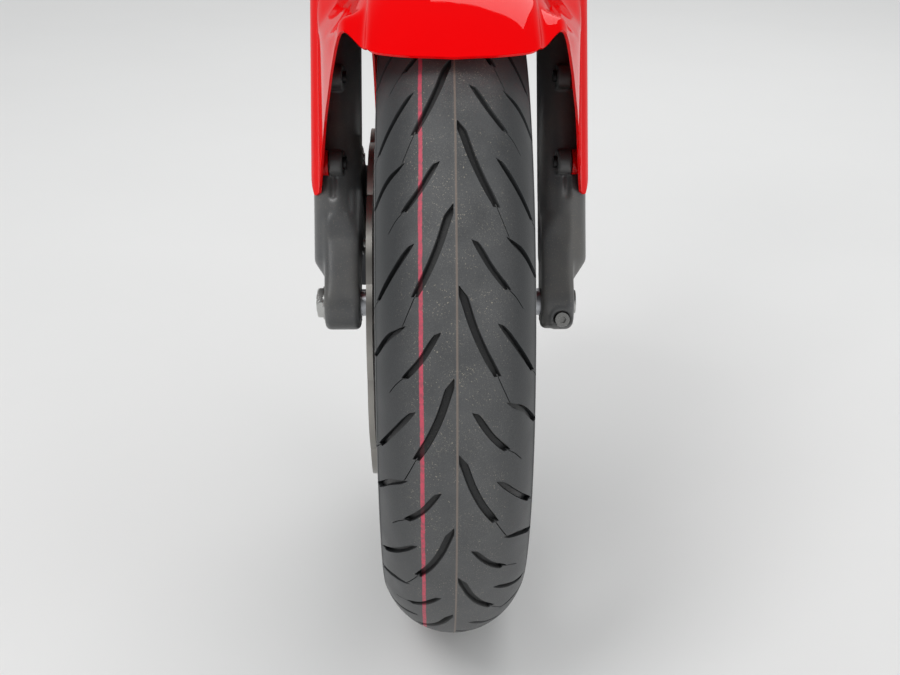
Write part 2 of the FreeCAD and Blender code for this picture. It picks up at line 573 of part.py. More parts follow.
def slider(side):
    """Painted outer casting of one leg; side is +1 on the machine's left and -1 on its right."""
    foot_width = FOOT_LEFT_WIDTH if side > 0 else FOOT_RIGHT_WIDTH
    foot_x = FOOT_INNER_X + foot_width
    cylinder = rod_z(SLIDER_RADIUS, SLIDER_TAPER_TOP, SLIDER_TOP, LEG_X, LEG_Y)
    taper = Part.makeCone(SLIDER_TAPER_RADIUS, SLIDER_RADIUS, SLIDER_TAPER_HEIGHT,
                          Vector(LEG_X, LEG_Y, SLIDER_TAPER_TOP - SLIDER_TAPER_HEIGHT), Z_AXIS)
    neck = SLIDER_TOP - SLIDER_COLLAR_HEIGHT + SLIDER_COLLAR_BLEND
    blend = Part.makeCone(SLIDER_RADIUS, SLIDER_COLLAR_RADIUS, SLIDER_COLLAR_BLEND,
                          Vector(LEG_X, LEG_Y, neck - SLIDER_COLLAR_BLEND), Z_AXIS)
    top = rod_z(SLIDER_COLLAR_RADIUS, neck, SLIDER_TOP, LEG_X, LEG_Y)
    pieces = [cylinder, taper, blend, top, foot(foot_width)]
    for height in EAR_HEIGHTS:
        pieces.append(rod_x(EAR_RADIUS, EAR_INNER_X, EAR_OUTER_X, EAR_Y, height))
        pieces.append(box(EAR_INNER_X, EAR_OUTER_X, EAR_Y, LEG_Y, height - EAR_RADIUS, height + EAR_RADIUS))
    if side < 0:
        for z in CALIPER_LUG_HEIGHTS:
            pieces.append(rod_x(CALIPER_LUG_RADIUS, CALIPER_LUG_X, CALIPER_LUG_X + CALIPER_LUG_WIDTH,
                                CALIPER_LUG_Y, z))
            pieces.append(box(CALIPER_LUG_X, CALIPER_LUG_X + CALIPER_LUG_WIDTH, LEG_Y, CALIPER_LUG_Y,
                              z - CALIPER_LUG_RADIUS, z + CALIPER_LUG_RADIUS))
    else:
        pieces.append(rod_y(PINCH_BOSS_RADIUS, -FOOT_RADIUS - 1.0, 0.0, PINCH_X, -PINCH_DROP).common(
            rod_x(FOOT_RADIUS + 1.0, FOOT_INNER_X, foot_x)))
    body = fused(pieces)
    cuts = [rod_z(TUBE_RADIUS + SLIDER_BORE_GAP, TUBE_FOOT - 12.0, SLIDER_TOP + 1, LEG_X, LEG_Y)]
    pocket_x = EAR_OUTER_X - EAR_POCKET_WIDTH / 2
    pocket_z = EAR_HEIGHTS[0] - EAR_POCKET_LENGTH
    pocket_y = LEG_Y - math.sqrt(SLIDER_RADIUS ** 2 - (pocket_x - LEG_X) ** 2) + EAR_POCKET_DEPTH
    cuts.append(rod_y(EAR_POCKET_WIDTH / 2, LEG_Y - SLIDER_RADIUS - 1.0, pocket_y, pocket_x, pocket_z))
    cuts.append(box(pocket_x - EAR_POCKET_WIDTH / 2, pocket_x + EAR_POCKET_WIDTH / 2,
                    LEG_Y - SLIDER_RADIUS - 1.0, pocket_y, pocket_z, EAR_HEIGHTS[0] - EAR_RADIUS))
    for height in EAR_HEIGHTS:
        cuts.append(rod_x(EAR_HOLE_RADIUS, EAR_INNER_X - 1, EAR_OUTER_X + 1, EAR_Y, height))
    if side < 0:
        cuts.append(rod_x(AXLE_RADIUS, FOOT_INNER_X - 1, foot_x + 1))
        for z in CALIPER_LUG_HEIGHTS:
            cuts.append(rod_x(4.0, CALIPER_LUG_X - 1, CALIPER_LUG_X + CALIPER_LUG_WIDTH + 1, CALIPER_LUG_Y, z))
    else:
        cuts.append(rod_x(AXLE_HEAD_RADIUS, FOOT_INNER_X - 1, foot_x + 1))
        cuts.append(box(FOOT_INNER_X - 1, foot_x + 1, -FOOT_SLIT / 2, FOOT_SLIT / 2, -FOOT_RADIUS - 2, 0))
        cuts.append(rod_y(PINCH_BOLT_RADIUS, -40.0, 17.0, PINCH_X, -PINCH_DROP))
        cuts.append(rod_y(PINCH_HEAD_RADIUS + 1.0, -40.0, -15.0, PINCH_X, -PINCH_DROP))
    body = body.cut(Part.makeCompound(cuts))
    return body if side > 0 else mirrored(body)


def pinch_bolt():
    x = PINCH_X
    shank = rod_y(PINCH_BOLT_RADIUS - 0.05, -16.0, 15.0, x, -PINCH_DROP)
    head = rod_y(PINCH_HEAD_RADIUS, -25.0, -15.05, x, -PINCH_DROP)
    socket = turned(hexagon_x(6.0, 0, 6.0), -90, Z_AXIS)
    socket.translate(Vector(x, -19.5, -PINCH_DROP))
    return fused([shank, head]).cut(socket)


def fork_tube(side):
    x = side * LEG_X
    body = rod_z(TUBE_RADIUS, TUBE_FOOT, TUBE_TOP, x, LEG_Y)
    bore = rod_z(TUBE_RADIUS - TUBE_WALL, TUBE_FOOT - 1, TUBE_TOP + 1, x, LEG_Y)
    z0 = UPPER_YOKE_TOP + TUBE_GROOVE_START
    groove = rod_z(TUBE_RADIUS + 1.0, z0, z0 + TUBE_GROOVE_WIDTH, x, LEG_Y).cut(
        rod_z(TUBE_RADIUS - TUBE_GROOVE_DEPTH, z0 - 1, z0 + TUBE_GROOVE_WIDTH + 1, x, LEG_Y))
    return body.cut(Part.makeCompound([bore, groove]))


def fork_cap(side):
    x = side * LEG_X
    plug = rod_z(TUBE_RADIUS - TUBE_WALL, TUBE_TOP - 14.0, TUBE_TOP + 1.0, x, LEG_Y)
    flange = rod_z(TUBE_RADIUS - 0.3, TUBE_TOP + 0.05, TUBE_TOP + 3.0, x, LEG_Y)
    hexagon = turned(hexagon_x(24.0, 0, 4.0), -90, Y_AXIS)
    hexagon.translate(Vector(x, LEG_Y, TUBE_TOP + 3.0))
    screw = rod_z(5.0, TUBE_TOP + 6.0, TUBE_TOP + 3.0 + CAP_HEIGHT, x, LEG_Y)
    slot = box(x - 6.0, x + 6.0, LEG_Y - 0.8, LEG_Y + 0.8, TUBE_TOP + 1.0 + CAP_HEIGHT, TUBE_TOP + 20.0)
    return fused([plug, flange, hexagon, screw]).cut(slot)


def dust_seal(side):
    x = side * LEG_X
    lower = rod_z(SLIDER_COLLAR_RADIUS - 0.7, SLIDER_TOP + 0.05, SLIDER_TOP + 5.0, x, LEG_Y)
    upper = Part.makeCone(SLIDER_COLLAR_RADIUS - 1.7, TUBE_RADIUS + 1.2, SEAL_HEIGHT - 5.0,
                          Vector(x, LEG_Y, SLIDER_TOP + 5.0), Z_AXIS)
    bore = rod_z(TUBE_RADIUS + 0.05, SLIDER_TOP - 1, SLIDER_TOP + SEAL_HEIGHT + 1, x, LEG_Y)
    return fused([lower, upper]).cut(bore)


# Yokes and steering

def yoke_outline(z, stem_radius, waist):
    """Plan of a yoke: two clamps and the stem boss, joined by tapering arms."""
    arm = [
        (-LEG_X, LEG_Y + waist, z), (0, STEER_Y + stem_radius * 0.8, z), (LEG_X, LEG_Y + waist, z),
        (LEG_X, LEG_Y - waist, z), (0, STEER_Y - stem_radius - 14.0, z), (-LEG_X, LEG_Y - waist, z),
    ]
    return Part.Face(polygon(arm))


def yoke(z0, height, clamp_radius, stem_radius, waist, bore_radius):
    arms = yoke_outline(z0 + 3.0, stem_radius, waist).extrude(Vector(0, 0, height - 6.0))
    clamps = [rod_z(clamp_radius, z0, z0 + height, s * LEG_X, LEG_Y) for s in (-1, 1)]
    boss = rod_z(stem_radius, z0, z0 + height, 0, STEER_Y)
    # a lug behind each clamp takes the pinch bolts across its slit
    lugs = [box(s * LEG_X - 9.0, s * LEG_X + 9.0, LEG_Y + clamp_radius - 6.0, LEG_Y + clamp_radius + 10.0,
                z0 + 2.0, z0 + height - 2.0) for s in (-1, 1)]
    body = fused([arms, boss] + clamps + lugs)
    cuts = [rod_z(TUBE_RADIUS, z0 - 1, z0 + height + 1, s * LEG_X, LEG_Y) for s in (-1, 1)]
    cuts.append(rod_z(bore_radius, z0 - 1, z0 + height + 1, 0, STEER_Y))
    cuts += [box(s * LEG_X - 1.0, s * LEG_X + 1.0, LEG_Y, LEG_Y + clamp_radius + 20.0, z0 - 1, z0 + height + 1)
             for s in (-1, 1)]
    return body.cut(Part.makeCompound(cuts))


def lower_yoke():
    body = yoke(LOWER_YOKE_BOTTOM, LOWER_YOKE_HEIGHT, TUBE_RADIUS + 8.0, 26.0, 17.0, STEM_RADIUS)
    stops = [box(s * STOP_X - 5.0, s * STOP_X + 5.0, STEER_Y - 10.0, STEER_Y + 2.0, LOWER_YOKE_TOP - 5.0,
                 LOWER_YOKE_TOP + STOP_HEIGHT) for s in (-1, 1)]
    holes = yoke_bolt_holes(LOWER_YOKE_BOTTOM, LOWER_YOKE_HEIGHT, TUBE_RADIUS + 8.0, (0.28, 0.72))
    return fused([body] + stops).cut(holes)


def upper_yoke():
    body = yoke(UPPER_YOKE_BOTTOM, UPPER_YOKE_HEIGHT, TUBE_RADIUS + 7.0, 23.0, 14.0, STEM_RADIUS)
    holes = yoke_bolt_holes(UPPER_YOKE_BOTTOM, UPPER_YOKE_HEIGHT, TUBE_RADIUS + 7.0, (0.5,))
    return body.cut(holes)


def yoke_bolt_rods(z0, height, clamp_radius, shares, radius, x0, x1):
    y = LEG_Y + clamp_radius + 4.5
    return [rod_x(radius, s * LEG_X + x0, s * LEG_X + x1, y, z0 + height * share)
            for s in (-1, 1) for share in shares]


def yoke_bolt_holes(z0, height, clamp_radius, shares):
    return Part.makeCompound(yoke_bolt_rods(z0, height, clamp_radius, shares, 4.0, -12.0, 12.0))


def yoke_bolts():
    """Socket-head pinch bolts across the slits of both yokes."""
    bolts = []
    for z0, height, clamp, shares in (
        (LOWER_YOKE_BOTTOM, LOWER_YOKE_HEIGHT, TUBE_RADIUS + 8.0, (0.28, 0.72)),
        (UPPER_YOKE_BOTTOM, UPPER_YOKE_HEIGHT, TUBE_RADIUS + 7.0, (0.5,)),
    ):
        shanks = yoke_bolt_rods(z0, height, clamp, shares, 3.95, -8.5, 10.0)
        heads = yoke_bolt_rods(z0, height, clamp, shares, 6.0, 9.05, 15.0)
        for shank, head in zip(shanks, heads):
            bolts.append(fused([shank, head]))
    return Part.makeCompound(bolts)


def stem():
    """Hollow steering stem, thicker where the lower bearing sits."""
    body = fused([
        rod_z(STEM_RADIUS, LOWER_YOKE_BOTTOM - 2.0, UPPER_YOKE_TOP + 10.0, 0, STEER_Y),
        rod_z(STEM_SEAT_RADIUS, LOWER_YOKE_TOP + 0.05, LOWER_RACE_Z + RACE_WIDTH / 2 + 2.0, 0, STEER_Y),
    ])
    return body.cut(rod_z(STEM_BORE_RADIUS, LOWER_YOKE_BOTTOM - 3.0, UPPER_YOKE_TOP + 11.0, 0, STEER_Y))


def stem_nut():
    hexagon = turned(hexagon_x(30.0, 0, 11.0), -90, Y_AXIS)
    hexagon.translate(Vector(0, STEER_Y, UPPER_YOKE_TOP + 2.05))
    washer = rod_z(19.0, UPPER_YOKE_TOP + 0.05, UPPER_YOKE_TOP + 2.05, 0, STEER_Y)
    dome = rod_z(15.0, UPPER_YOKE_TOP + 9.0, UPPER_YOKE_TOP + 15.0, 0, STEER_Y)
    return fused([hexagon, washer, dome]).cut(rod_z(STEM_RADIUS, UPPER_YOKE_TOP - 1, UPPER_YOKE_TOP + 30, 0, STEER_Y))


def adjuster_nut():
    """Slotted ring nut that loads the bearings."""
    z0 = UPPER_RACE_Z + RACE_WIDTH / 2 + 1.0
    ring = rod_z(20.0, z0, z0 + 9.0, 0, STEER_Y)
    slots = [turned(box(16.0, 25.0, STEER_Y - 2.5, STEER_Y + 2.5, z0 - 1, z0 + 10), 90 * k, Z_AXIS,
                    Vector(0, STEER_Y, 0)) for k in range(4)]
    return ring.cut(Part.makeCompound(slots + [rod_z(STEM_RADIUS, z0 - 1, z0 + 12, 0, STEER_Y)]))


def outer_race(z, radius):
    """Outer race: a ring whose inside is a cone, wider towards the bearing's big end."""
    z0 = z - RACE_WIDTH / 2
    ring = rod_z(radius, z0, z0 + RACE_WIDTH, 0, STEER_Y)
    return ring.cut(race_cone(z, radius, 0.0))


def race_cone(z, radius, gap):
    """The tapered space inside an outer race, less a gap; it widens away from the headstock's middle."""
    z0 = z - RACE_WIDTH / 2
    small, large = radius - RACE_WALL - 2.0 - gap, radius - RACE_WALL + 2.0 - gap
    if z < (LOWER_RACE_Z + UPPER_RACE_Z) / 2:
        small, large = large, small
    return Part.makeCone(small, large, RACE_WIDTH, Vector(0, STEER_Y, z0), Z_AXIS)


def inner_race(z, radius, bore):
    """Inner race with its rollers, as one ring inside the outer race's taper."""
    return race_cone(z, radius, CONE_GAP).cut(
        rod_z(bore, z - RACE_WIDTH, z + RACE_WIDTH, 0, STEER_Y))


# Mudguard

def on_arc(radius, degrees, x=0.0):
    """A place at a radius from the axle and an angle forward of the fork legs' direction."""
    a = math.radians(degrees)
    return (x, -radius * math.sin(a), radius * math.cos(a))


def crown_outline(wall, side_bottom):
    """Half section of the crown, as edges from its middle outwards; wall shrinks it to the inner face."""
    top = GUARD_RADIUS - wall
    edge = top - GUARD_CROWN_DROP
    half = GUARD_HALF_WIDTH - wall
    bend = GUARD_SHOULDER_RADIUS - wall
    share = 1 - math.sqrt(0.5)
    middle_drop = GUARD_CROWN_DROP * 0.25
    shoulder = (half - bend * share, 0, edge - bend * share)
    edges = [arc((0, 0, top), ((half - bend) / 2, 0, top - middle_drop), (half - bend, 0, edge))]
    if side_bottom is None:
        start = half - bend
        a = math.radians(22.5)
        edges.append(arc((start, 0, edge), (start + bend * math.sin(a), 0, edge - bend * (1 - math.cos(a))), shoulder))
        return edges, shoulder
    edges.append(arc((half - bend, 0, edge), shoulder, (half, 0, edge - bend)))
    edges.append(line((half, 0, edge - bend), (half, 0, side_bottom)))
    return edges, (half, 0, side_bottom)


def crown_part(front, rear, side_bottom):
    """Stretch of the crown between two angles forward of the legs, both halves."""
    outer, outer_end = crown_outline(0.0, side_bottom)
    inner, inner_end = crown_outline(GUARD_WALL, side_bottom)
    closing = [line(outer_end, inner_end), line((0, 0, GUARD_RADIUS), (0, 0, GUARD_RADIUS - GUARD_WALL))]
    half = face(outer + inner + closing).revolve(ORIGIN, X_AXIS, front - rear)
    half = turned(half, rear)
    return [half, mirrored(half)]


def lip_cutter():
    """Everything ahead of the front lip's curved edge, on the machine's left."""
    z0, z1 = GUARD_RADIUS * 0.6, GUARD_RADIUS + 20.0
    first, last, ahead = (LIP[0][0], LIP[0][1], z0), (LIP[-1][0], LIP[-1][1], z0), -60.0
    edges = [curve((x, y, z0) for x, y in LIP), line(first, (first[0], ahead, z0)), line((first[0], ahead, z0), (last[0], ahead, z0)),
             line((last[0], ahead, z0), last)]
    return turned(face(edges).extrude(Vector(0, 0, z1 - z0)), GUARD_FRONT_ANGLE)


def along_wing(y, column):
    """Smoothly interpolated value of one column of the wing's table."""
    k = next((i for i in range(len(WING) - 2) if y <= WING[i + 1][0]), len(WING) - 2)
    a, b = WING[k], WING[k + 1]
    before, after = WING[max(k - 1, 0)], WING[min(k + 2, len(WING) - 1)]
    span = b[0] - a[0]
    t = (y - a[0]) / span
    slope_a = (b[column] - before[column]) / (b[0] - before[0]) * span
    slope_b = (after[column] - a[column]) / (after[0] - a[0]) * span
    return (a[column] * (2 * t ** 3 - 3 * t ** 2 + 1) + slope_a * (t ** 3 - 2 * t ** 2 + t)
            + b[column] * (3 * t ** 2 - 2 * t ** 3) + slope_b * (t ** 3 - t ** 2))


def inset(points, wall):
    """A line of (x, z) points moved inwards by the wall; the last point keeps its height."""
    moved = []
    for k, (x, z) in enumerate(points):
        normals = []
        for (x0, z0), (x1, z1) in zip(points[max(k - 1, 0):k + 1], points[max(k - 1, 0) + 1:k + 2]):
            length = math.hypot(x1 - x0, z1 - z0)
            normals.append(((z1 - z0) / length, -(x1 - x0) / length))
        (ax, az), (bx, bz) = normals[0], normals[-1]
        share = wall / (1 + ax * bx + az * bz)
        moved.append((x + (ax + bx) * share, z + (az + bz) * share))
    moved[-1] = (moved[-1][0], points[-1][1])
    return moved


def wing_section(y):
    """One section across the wing: roof out from the crown's shoulder, rounded ridge, skirt down to its edge."""
    shoulder = crown_outline(0.0, None)[1]
    start_x = shoulder[0] - WING_LAP
    start_z = math.sqrt(shoulder[2] ** 2 - y ** 2) + GUARD_WALL * 0.4
    if y < -SLEEVE_FRONT:
        ridge_x, drop, edge_x, bulge = (along_wing(y, column) for column in (1, 2, 3, 4))
    else:
        ridge_x = edge_x = LEG_X + math.sqrt(SLEEVE_RADIUS ** 2 - (y - LEG_Y) ** 2)
        drop, bulge = SLEEVE_TOP_DROP, WING[-1][4]
    ridge_z = math.sqrt((GUARD_RADIUS - drop) ** 2 - y ** 2)
    slope = SKIRT_FRONT_SLOPE if y < -SKIRT_TIP_FRONT else SKIRT_REAR_SLOPE
    low = min(SKIRT_TIP_HEIGHT + abs(y + SKIRT_TIP_FRONT) * slope, ridge_z - WING_LEAST_SKIRT)
    roof = ((start_x + ridge_x) / 2, (start_z + ridge_z) / 2 + bulge)
    outer = [(start_x, start_z), roof, (ridge_x, ridge_z), (edge_x, low)]
    edges, ends = [], []
    for wall in (0.0, GUARD_WALL):
        start, middle, ridge, edge = inset(outer, wall)
        r = min(WING_RIDGE_RADIUS, 0.6 * (ridge_z - low)) - wall * 0.5
        before = shifted(ridge, middle, r)
        after = shifted(ridge, edge, r)
        corner = ((before[0] + after[0] + 1.6 * ridge[0]) / 3.6, (before[1] + after[1] + 1.6 * ridge[1]) / 3.6)
        start, middle, before, corner, after, edge = ((x, y, z) for x, z in (start, middle, before, corner, after,
                                                                            edge))
        edges += [curve((start, middle, before)), arc(before, corner, after), line(after, edge)]
        ends.append((start, edge))
    edges += [line(ends[0][0], ends[1][0]), line(ends[0][1], ends[1][1])]
    return Part.Wire(Part.__sortEdges__(edges))


def shifted(start, towards, distance):
    """Place at a distance from one (x, z) point towards another."""
    length = math.hypot(towards[0] - start[0], towards[1] - start[1])
    return tuple(a + (b - a) * distance / length for a, b in zip(start, towards))


def spaced(first, last, step):
    """Evenly spaced places, at most a step apart, with both ends."""
    count = math.ceil((last - first) / step)
    return [first + (last - first) * k / count for k in range(count + 1)]


def wing():
    """Side wing on the machine's left, from the arch beside the tyre back round the fork leg's outer half."""
    places = spaced(WING[0][0], -SLEEVE_FRONT - 0.5, WING_STEP) + spaced(-SLEEVE_FRONT, SLEEVE_REAR, SLEEVE_STEP)
    return Part.makeLoft([wing_section(y) for y in places], True, True)


def mudguard():
    leg = rod_z(SLIDER_RADIUS + SLEEVE_GAP, 0.0, GUARD_RADIUS + 30.0, LEG_X, LEG_Y)
    collar_foot = SLIDER_TOP - SLIDER_COLLAR_HEIGHT - COLLAR_ROOM
    collar_room = rod_z(SLIDER_COLLAR_RADIUS + COLLAR_ROOM, collar_foot, GUARD_RADIUS + 30.0, LEG_X, LEG_Y)
    left = [wing()]
    skirt_x = along_wing(EAR_Y, 3)
    for height in EAR_HEIGHTS:
        left.append(rod_x(BOSS_RADIUS, EAR_OUTER_X + RUN_GAP, skirt_x - GUARD_WALL / 2, EAR_Y, height))
    wing_rear = -math.degrees(math.asin(SLEEVE_REAR / GUARD_RADIUS))
    shell = crown_part(GUARD_FRONT_ANGLE + 0.5, wing_rear, None)
    shell += crown_part(wing_rear, -GUARD_REAR_ANGLE, GUARD_RADIUS - GUARD_SIDE_DEPTH)
    left = [fused(left).cut(leg).cut(collar_room)]
    body = fused(shell + left + [mirrored(piece) for piece in left])
    holes = [rod_x(SCREW_RADIUS, EAR_OUTER_X, skirt_x - BOSS_HOLE_END, EAR_Y, height) for height in EAR_HEIGHTS]
    lip = lip_cutter()
    return body.cut(Part.makeCompound(holes + [mirrored(h) for h in holes] + [lip, mirrored(lip)]))


def mudguard_bolts():
    end = along_wing(EAR_Y, 3) - BOSS_HOLE_END - 0.5
    bolts = []
    for height in EAR_HEIGHTS:
        bolt = fused([
            rod_x(SCREW_RADIUS - 0.05, EAR_INNER_X - 1.0, end, EAR_Y, height),
            rod_x(SCREW_HEAD_RADIUS, EAR_INNER_X - SCREW_HEAD_HEIGHT, EAR_INNER_X, EAR_Y, height),
        ]).cut(hexagon_x(SCREW_SOCKET_FLATS, EAR_INNER_X - SCREW_HEAD_HEIGHT - 1.0, EAR_INNER_X - 1.5, EAR_Y, height))
        bolts += [bolt, mirrored(bolt)]
    return Part.makeCompound(bolts)


# Brake caliper

def sector(r0, r1, span, x0, x1, middle=CALIPER_ANGLE):
    """Block between two radii, an angle wide, with its middle at an angle from the legs' direction."""
    a0, a1 = middle - span / 2, middle + span / 2
    edges = [
        arc(on_arc(r1, a0, x0), on_arc(r1, middle, x0), on_arc(r1, a1, x0)),
        line(on_arc(r1, a1, x0), on_arc(r0, a1, x0)),
        arc(on_arc(r0, a1, x0), on_arc(r0, middle, x0), on_arc(r0, a0, x0)),
        line(on_arc(r0, a0, x0), on_arc(r1, a0, x0)),
    ]
    return face(edges).extrude(Vector(x1 - x0, 0, 0))


def caliper():
    """Body of the sliding caliper, with two cylinders outside, the hose port and a slot over the disc."""
    body = sector(CALIPER_INNER_RADIUS, CALIPER_OUTER_RADIUS, CALIPER_SPAN, CALIPER_OUTSIDE_X, CALIPER_INSIDE_X)
    x0 = CALIPER_OUTSIDE_X
    cylinders = []
    for angle in PISTON_ANGLES:
        place = on_arc(PISTON_CIRCLE_RADIUS, CALIPER_ANGLE + angle)
        cylinders.append(rod_x(PISTON_RADIUS, x0 - 6.0, x0 + 4.0, place[1], place[2]))
    port = on_arc(HOSE_PORT_CIRCLE_RADIUS, CALIPER_ANGLE + HOSE_PORT_ANGLE)
    boss = rod_x(HOSE_THREAD_RADIUS + 2.0, x0 - 12.0, x0 + 4.0, port[1], port[2])
    thread = rod_x(HOSE_THREAD_RADIUS, x0 - 13.0, x0 - 1.0, port[1], port[2])
    slot_out = DISC_OUTER_X - PAD_GAP - PAD_THICKNESS - 0.5
    slot_in = DISC_INSIDE_X + PAD_GAP + PAD_THICKNESS + 0.5
    below = CALIPER_INNER_RADIUS - 35.0
    disc_slot = sector(below, DISC_RADIUS + 3.0, CALIPER_SPAN + 20.0, DISC_OUTER_X - 3.0, DISC_INSIDE_X + 3.0)
    pad_slot = sector(below, DISC_RADIUS + 1.0, CALIPER_SPAN - 14.0, slot_out, slot_in)
    window = sector(CALIPER_INNER_RADIUS + 12.0, CALIPER_OUTER_RADIUS + 30.0, 16.0, DISC_OUTER_X - 8.0,
                    DISC_INSIDE_X + 8.0)
    return fused([body, boss] + cylinders).cut(Part.makeCompound([disc_slot, pad_slot, window, thread]))


def brake_pads():
    pads = []
    for x0 in (DISC_OUTER_X - PAD_GAP - PAD_THICKNESS, DISC_INSIDE_X + PAD_GAP):
        pads.append(sector(PAD_INNER_RADIUS, PAD_OUTER_RADIUS, CALIPER_SPAN - 16.0, x0, x0 + PAD_THICKNESS))
    return Part.makeCompound(pads)


def caliper_bracket(caliper_shape):
    """Plate on the slider's lugs that carries the sliding caliper."""
    x0, x1 = -CALIPER_LUG_X + 0.05, -CALIPER_LUG_X + 7.0
    low, high = CALIPER_LUG_HEIGHTS
    points = [
        (x0, CALIPER_LUG_Y - 11.0, low - 8.0),
        (x0, CALIPER_LUG_Y + 9.0, low - 11.0),
        on_arc(CALIPER_INNER_RADIUS - 4.0, CALIPER_ANGLE - 6.0, x0),
        on_arc(CALIPER_INNER_RADIUS - 2.0, CALIPER_ANGLE + 14.0, x0),
        on_arc(CALIPER_OUTER_RADIUS - 3.0, CALIPER_ANGLE + 24.0, x0),
        (x0, CALIPER_LUG_Y + 12.0, high + 10.0),
        (x0, CALIPER_LUG_Y - 11.0, high + 10.0),
    ]
    plate = Part.Face(polygon(points)).extrude(Vector(x1 - x0, 0, 0))
    holes = [rod_x(4.0, x0 - 5.0, x1 + 5.0, CALIPER_LUG_Y, z) for z in CALIPER_LUG_HEIGHTS]
    return plate.cut(Part.makeCompound(holes)).cut(caliper_shape)


def caliper_bolts():
    bolts = []
    for z in CALIPER_LUG_HEIGHTS:
        x0 = -CALIPER_LUG_X - CALIPER_LUG_WIDTH
        bolts.append(fused([
            rod_x(3.95, x0 - 1.0, -CALIPER_LUG_X + 9.0, CALIPER_LUG_Y, z),
            hexagon_x(12.0, x0 - 6.0, x0 - 0.05, CALIPER_LUG_Y, z),
        ]))
    return Part.makeCompound(bolts)


# Every node, with its shape in the fork frame

def wheel_nodes():
    """The wheel's pieces, drawn with the valve straight below the axle."""
    yield "tyre", tyre()
    yield "rim", rim()
    yield "brake_disc", brake_disc()
    yield "disc_carrier", disc_carrier()
    yield "disc_bobbins", disc_bobbins()
    yield "disc_bolts", disc_bolts()
    yield "bearing_right", wheel_bearing(BEARING_RIGHT_X)
    yield "bearing_left", wheel_bearing(BEARING_LEFT_X)
    yield "hub_seal_right", hub_seal(HUB_RIGHT_X)
    yield "hub_seal_left", hub_seal(HUB_LEFT_X - HUB_SEAL_WIDTH)
    yield "valve", valve()


def nodes():
    # the wheel is turned back by the rake, so the valve ends straight below the axle in the row frame
    for name, shape in wheel_nodes():
        yield name, turned(shape, RAKE)
    yield "axle", axle()
    yield "axle_nut", axle_nut()
    yield "collar_right", collar(-FOOT_INNER_X, BEARING_RIGHT_X - RUN_GAP)
    yield "collar_left", collar(BEARING_LEFT_X + BEARING_WIDTH + RUN_GAP, FOOT_INNER_X)
    yield "pinch_bolt", pinch_bolt()
    for name, side in (("left", 1), ("right", -1)):
        yield "slider_" + name, slider(side)
        yield "fork_tube_" + name, fork_tube(side)
        yield "fork_cap_" + name, fork_cap(side)
        yield "dust_seal_" + name, dust_seal(side)
    yield "mudguard", mudguard()
    yield "mudguard_bolts", mudguard_bolts()
    caliper_shape = caliper()
    yield "caliper", caliper_shape
    yield "caliper_bracket", caliper_bracket(caliper_shape)
    yield "caliper_bolts", caliper_bolts()
    yield "brake_pads", brake_pads()
    yield "lower_yoke", lower_yoke()
    yield "upper_yoke", upper_yoke()
    yield "yoke_bolts", yoke_bolts()
    yield "stem", stem()
    yield "stem_nut", stem_nut()
    yield "adjuster_nut", adjuster_nut()
    yield "lower_inner_race", inner_race(LOWER_RACE_Z, LOWER_RACE_RADIUS, STEM_SEAT_RADIUS)
    yield "upper_inner_race", inner_race(UPPER_RACE_Z, UPPER_RACE_RADIUS, STEM_RADIUS)
    yield "lower_outer_race", outer_race(LOWER_RACE_Z, LOWER_RACE_RADIUS)
    yield "upper_outer_race", outer_race(UPPER_RACE_Z, UPPER_RACE_RADIUS)


def to_row_frame(shape):
    """From the fork frame to the row frame: origin to the lower race, then lean back by the rake."""
    placed = shape.copy()
    placed.translate(Vector(0, -STEER_Y, -LOWER_RACE_Z))
    placed.rotate(ORIGIN, X_AXIS, -RAKE)
    return placed


def main():
    os.makedirs("parts", exist_ok=True)
    for name, shape in nodes():
        placed = to_row_frame(shape)
        if not placed.isValid():
            print("not valid:", name)
        placed.exportStep("parts/%s.step" % name)
        print("%-18s solids %2d  volume %9.0f mm3" % (name, len(placed.Solids), placed.Volume))


main()
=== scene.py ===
"""Looks of a sport motorcycle's front end, seen head-on from above its front tyre.

The object is a piece off a machine, held by its steering head. Places are in metres in the frame's own
axes: +Z up, the machine faces -Y and its left side is +X. Many forms are drawn in millimetres in the fork
frame, with its origin on the axle's middle, x sideways, y rearwards and z up along the fork legs, and are
then leaned back by the rake.
"""

import json
import math

import bmesh
import bpy
import numpy as np
from mathutils import Matrix, Vector


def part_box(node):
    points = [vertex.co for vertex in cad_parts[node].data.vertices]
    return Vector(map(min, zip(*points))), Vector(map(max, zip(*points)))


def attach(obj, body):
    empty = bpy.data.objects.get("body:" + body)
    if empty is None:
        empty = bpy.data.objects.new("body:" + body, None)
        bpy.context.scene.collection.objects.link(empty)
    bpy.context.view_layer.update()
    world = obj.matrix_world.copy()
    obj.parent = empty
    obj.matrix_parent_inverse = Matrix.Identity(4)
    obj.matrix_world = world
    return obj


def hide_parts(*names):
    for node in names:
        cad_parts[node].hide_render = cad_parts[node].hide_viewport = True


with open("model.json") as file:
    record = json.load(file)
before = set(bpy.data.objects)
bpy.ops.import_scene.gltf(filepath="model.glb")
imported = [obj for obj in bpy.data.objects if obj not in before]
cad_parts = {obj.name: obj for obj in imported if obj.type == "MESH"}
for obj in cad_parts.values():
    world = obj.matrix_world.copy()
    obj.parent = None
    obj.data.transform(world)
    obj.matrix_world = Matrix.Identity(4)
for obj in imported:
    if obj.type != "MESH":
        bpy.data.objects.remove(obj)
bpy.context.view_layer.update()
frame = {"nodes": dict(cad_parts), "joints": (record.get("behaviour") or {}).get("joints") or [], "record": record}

MM = 0.001

